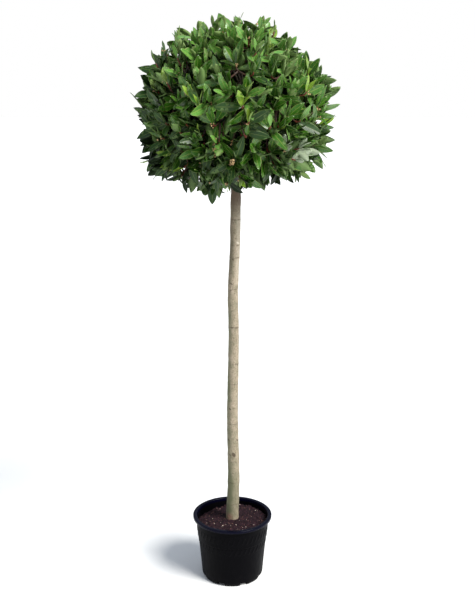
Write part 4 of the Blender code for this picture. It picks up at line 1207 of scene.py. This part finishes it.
def deal_leaves(layers, seed):
    """The leaves of some layers' shoots: where they start, their axes, lengths, tones and shapes.

    A leaf's tone follows how much light its direction gets, with a shift for its shoot and a
    smaller one of its own. Leaves that would leave the head or close a gap are left out.
    """
    draw = np.random.default_rng(seed)
    held = shoots[np.isin(shoots[:, 5, 0], layers)]
    shoot_layer = held[:, 5, 0].astype(int)
    shoot, number = np.divmod(np.arange(len(held) * LEAVES_PER_SHOOT), LEAVES_PER_SHOOT)
    start, bend, tip, way = (held[shoot, i] for i in range(4))
    length = np.linalg.norm(tip - start, axis=1)
    back = np.minimum(LEAF_SPACING, length * 0.9 / LEAVES_PER_SHOOT) * (number + 0.15)
    share = 1 - back / length
    roots = bent(start, bend, tip, share)
    tangent = unit((bend - start) * (1 - share)[:, None] + (tip - bend) * share[:, None])
    side = unit(np.cross(tangent, [0.2, 0.1, 0.97]))
    other = np.cross(tangent, side)
    turn = draw.uniform(0, 2 * math.pi, len(held))[shoot] + number * GOLDEN_ANGLE
    turn += draw.normal(0, 0.16, len(shoot))
    out = side * np.cos(turn)[:, None] + other * np.sin(turn)[:, None]
    spread = np.radians(np.array(LEAF_SPREADS)[number] + draw.normal(0, 8, len(shoot)))
    along = tangent * np.cos(spread)[:, None] + out * np.sin(spread)[:, None]
    rise = 0.42 * smooth_step(-0.5, 0.1, way[:, 2]) * draw.uniform(0.2, 1.2, len(shoot))
    along = unit(along + rise[:, None] * [0, 0, 1])
    facing = tangent + [0, 0, 0.35] + 0.35 * way - out * 0.3 + draw.normal(0, 0.10, along.shape)
    turned = np.linalg.norm(tip - TURNED_SPRAY, axis=1) < TURNED_SPRAY_RADIUS
    facing[turned] = ([-0.3, 1.0, -0.1] + 0.3 * draw.normal(0, 1, along.shape))[turned]
    lengths = np.array(LEAF_LENGTHS)[number] * draw.uniform(0.84, 1.10, len(shoot))
    # Painted light: leaves facing up and towards the sun take lighter tones, those on the left side darker
    # ones.
    sun = way @ SUN_WAY - 0.26 + 1.45 * smooth_step(0.3, 0.9, way[:, 2])
    sun -= 0.40 * smooth_step(0.2, 0.9, -way[:, 0])
    light = 0.62 * sun + draw.normal(0, SHOOT_LIGHT, len(held))[shoot]
    light += draw.normal(0, LEAF_LIGHT, len(shoot))
    # Painted light: the two leaves nearest a shoot's tip take lighter tones.
    light += np.where(number < 2, 0.22, 0.0)
    tone = np.digitize(light, TONE_LIMITS) + SHADED
    # Painted shade: the inner layer's leaves, and leaves low down turned well away from the light, take the
    # darkest tone.
    tone[(shoot_layer[shoot] == 1) | ((light < -0.95) & (way[:, 2] < 0.35))] = DEEP_SHADE
    luck = draw.uniform(0, 1, len(held))[shoot]
    luck += 0.12 * smooth_step(0.5, -0.5, sun)
    young = ((luck < 0.26) & (number < 2)) | ((luck < 0.05) & (number < 4))
    tone[young & (shoot_layer[shoot] == 0)] = YOUNG
    # Painted sheen: the turned spray's leaves take a pale tone on both faces, besides showing their pale
    # undersides.
    tone[turned & (shoot_layer[shoot] == 0) & (number < 4)] = TURNED
    reach = along * lengths[:, None]
    keep = within_head(roots + reach) & within_head(roots + reach * 0.5)
    for part in (0.25, 0.5, 0.75, 0.95):
        keep &= clear_of_sky_gaps(roots + reach * part, SKY_GAPS, SKY_GAP_RADIUS)
    leaves = [roots[keep], along[keep], facing[keep], lengths[keep], tone[keep]]
    if 0 in layers:
        hanging = HANGING_LEAF_TIP - hanging_root
        last = ([hanging_root], [unit(hanging)], [HANGING_LEAF_FACING], [np.linalg.norm(hanging)], [SHADED])
        leaves = [np.concatenate(pair) for pair in zip(leaves, last)]
    total = len(leaves[0])
    shapes = [draw.uniform(low, high, total) for low, high in LEAF_SHAPES]
    shapes += [draw.normal(0, 0.16, total), draw.uniform(0, 2 * math.pi, total)]
    return leaves + shapes


def make_leaf_finish(name, colour, other, roughness, shine):
    """Two tones in soft patches, with a slightly uneven gloss."""
    finish = plain_material(name, colour, roughness, shine)
    tone = ramp_of(finish, noise_of(finish, 0.016, detail=3.0), [(0.38, 0.0), (0.62, 1.0)])
    grain = noise_of(finish, 0.0040, detail=3.0)
    gloss = ramp_of(finish, grain, [(0.3, roughness - 0.05), (0.7, roughness + 0.09)])
    relief = bump_of(finish, grain, 0.0005, 0.35)
    join_up(finish, Base_Color=mix_of(finish, tone, colour, other), Roughness=gloss, Normal=relief)
    return finish


dealt = [np.concatenate(pair) for pair in zip(deal_leaves((0, 1), 38), deal_leaves((2,), 39))]
leaf_tones = dealt.pop(4)
leaf_points = leaf_surfaces(*dealt)
open_sky = clear_of_sky_gaps(leaf_points, CLEARED_GAPS, CLEARED_GAP_RADIUS).all(axis=1)
leaf_points, leaf_tones = leaf_points[open_sky], leaf_tones[open_sky]
one_leaf, one_slots = leaf_faces()
for tone, (tone_name, roughness, shine) in enumerate(LEAF_TONES):
    blade, blade_other, rib, under = LEAF_COLOURS[tone]
    finishes = [
        make_leaf_finish(tone_name + "_blade", blade, blade_other, roughness, shine),
        make_leaf_finish(tone_name + "_rib", rib, tuple(0.8 * level for level in rib), roughness + 0.06, 0.4),
        make_leaf_finish(tone_name + "_underside", under, tuple(0.85 * level for level in under), 0.55, 0.3),
    ]
    chosen = np.flatnonzero(leaf_tones == tone)
    for number, part in enumerate(np.array_split(chosen, -(-len(chosen) // LEAVES_PER_PIECE))):
        offsets = np.arange(len(part)) * leaf_points.shape[1]
        faces = [[corner + offset for corner in face] for offset in offsets.tolist() for face in one_leaf]
        leaf_name = f"{tone_name}_leaves_{number + 1}"
        part_points = leaf_points[part].reshape(-1, 3)
        leaf_piece = add_piece(leaf_name, part_points, faces, finishes, one_slots * len(part))
        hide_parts(*FOLIAGE_NODES)
        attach(leaf_piece, "root")


# ---------------------------------------------------------------- flower buds
# Round cream-coloured buds, a few millimetres across, in small clusters where the upper leaves
# join some of the shoots. They are joined as one mesh.

BUD_SHOOT_SHARE = 0.30
BUDS_PER_CLUSTER = 4
BUD_RADIUS = 0.0025
BUD_STALK = 0.008
BUD_SPRAY = (-0.012, -0.250, 1.520)  # the shoots near here end in a longer spray of buds
BUD_SPRAY_RADIUS = 0.030
BUD_SPRAY_CLUSTERS = 5
BUD_SPRAY_HEIGHT = 0.030
BUD_CREAM = (0.62, 0.44, 0.22)
BUD_TAN = (0.34, 0.20, 0.09)


def make_buds():
    """Eight-sided buds packed at random within a small ball, one ball to each chosen shoot."""
    draw = np.random.default_rng(31)
    outer = shoots[(shoots[:, 5, 0] == 0) & leafy[:-1]]
    chosen = outer[draw.uniform(0, 1, len(outer)) < BUD_SHOOT_SHARE]
    share = draw.uniform(0.82, 1.02, len(chosen))
    centres = bent(chosen[:, 0], chosen[:, 1], chosen[:, 2], share) + chosen[:, 3] * BUD_STALK
    spray = outer[np.linalg.norm(outer[:, 2] - BUD_SPRAY, axis=1) < BUD_SPRAY_RADIUS]
    spray = np.concatenate([spray] * BUD_SPRAY_CLUSTERS)
    stalk = spray[:, 4] * draw.uniform(0.010, 0.040, (len(spray), 1)) + spray[:, 3] * 0.014
    stalk[:, 2] += draw.uniform(-0.5, 0.5, len(spray)) * BUD_SPRAY_HEIGHT
    centres = np.concatenate([centres, spray[:, 2] + stalk])
    centres = np.repeat(centres, BUDS_PER_CLUSTER, 0)
    centres = centres + unit(draw.normal(size=centres.shape)) * draw.uniform(0.004, 0.0095, (len(centres), 1))
    sizes = BUD_RADIUS * draw.uniform(0.7, 1.25, (len(centres), 1, 1))
    corners = np.array([(1, 0, 0), (0, 1, 0), (-1, 0, 0), (0, -1, 0), (0, 0, 1.2), (0, 0, -1.2)])
    points = centres[:, None] + corners[None] * sizes
    return points.reshape(-1, 3), pyramid_faces(len(centres))


bud_points, bud_faces = make_buds()
bud_finish = plain_material("bud_scales", BUD_CREAM, 0.6, 0.4)
join_up(bud_finish, Base_Color=mix_of(bud_finish, noise_of(bud_finish, 0.006), BUD_TAN, BUD_CREAM))
buds = add_piece("flower_buds", bud_points, bud_faces, [bud_finish])
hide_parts(*FOLIAGE_NODES)
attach(buds, "root")
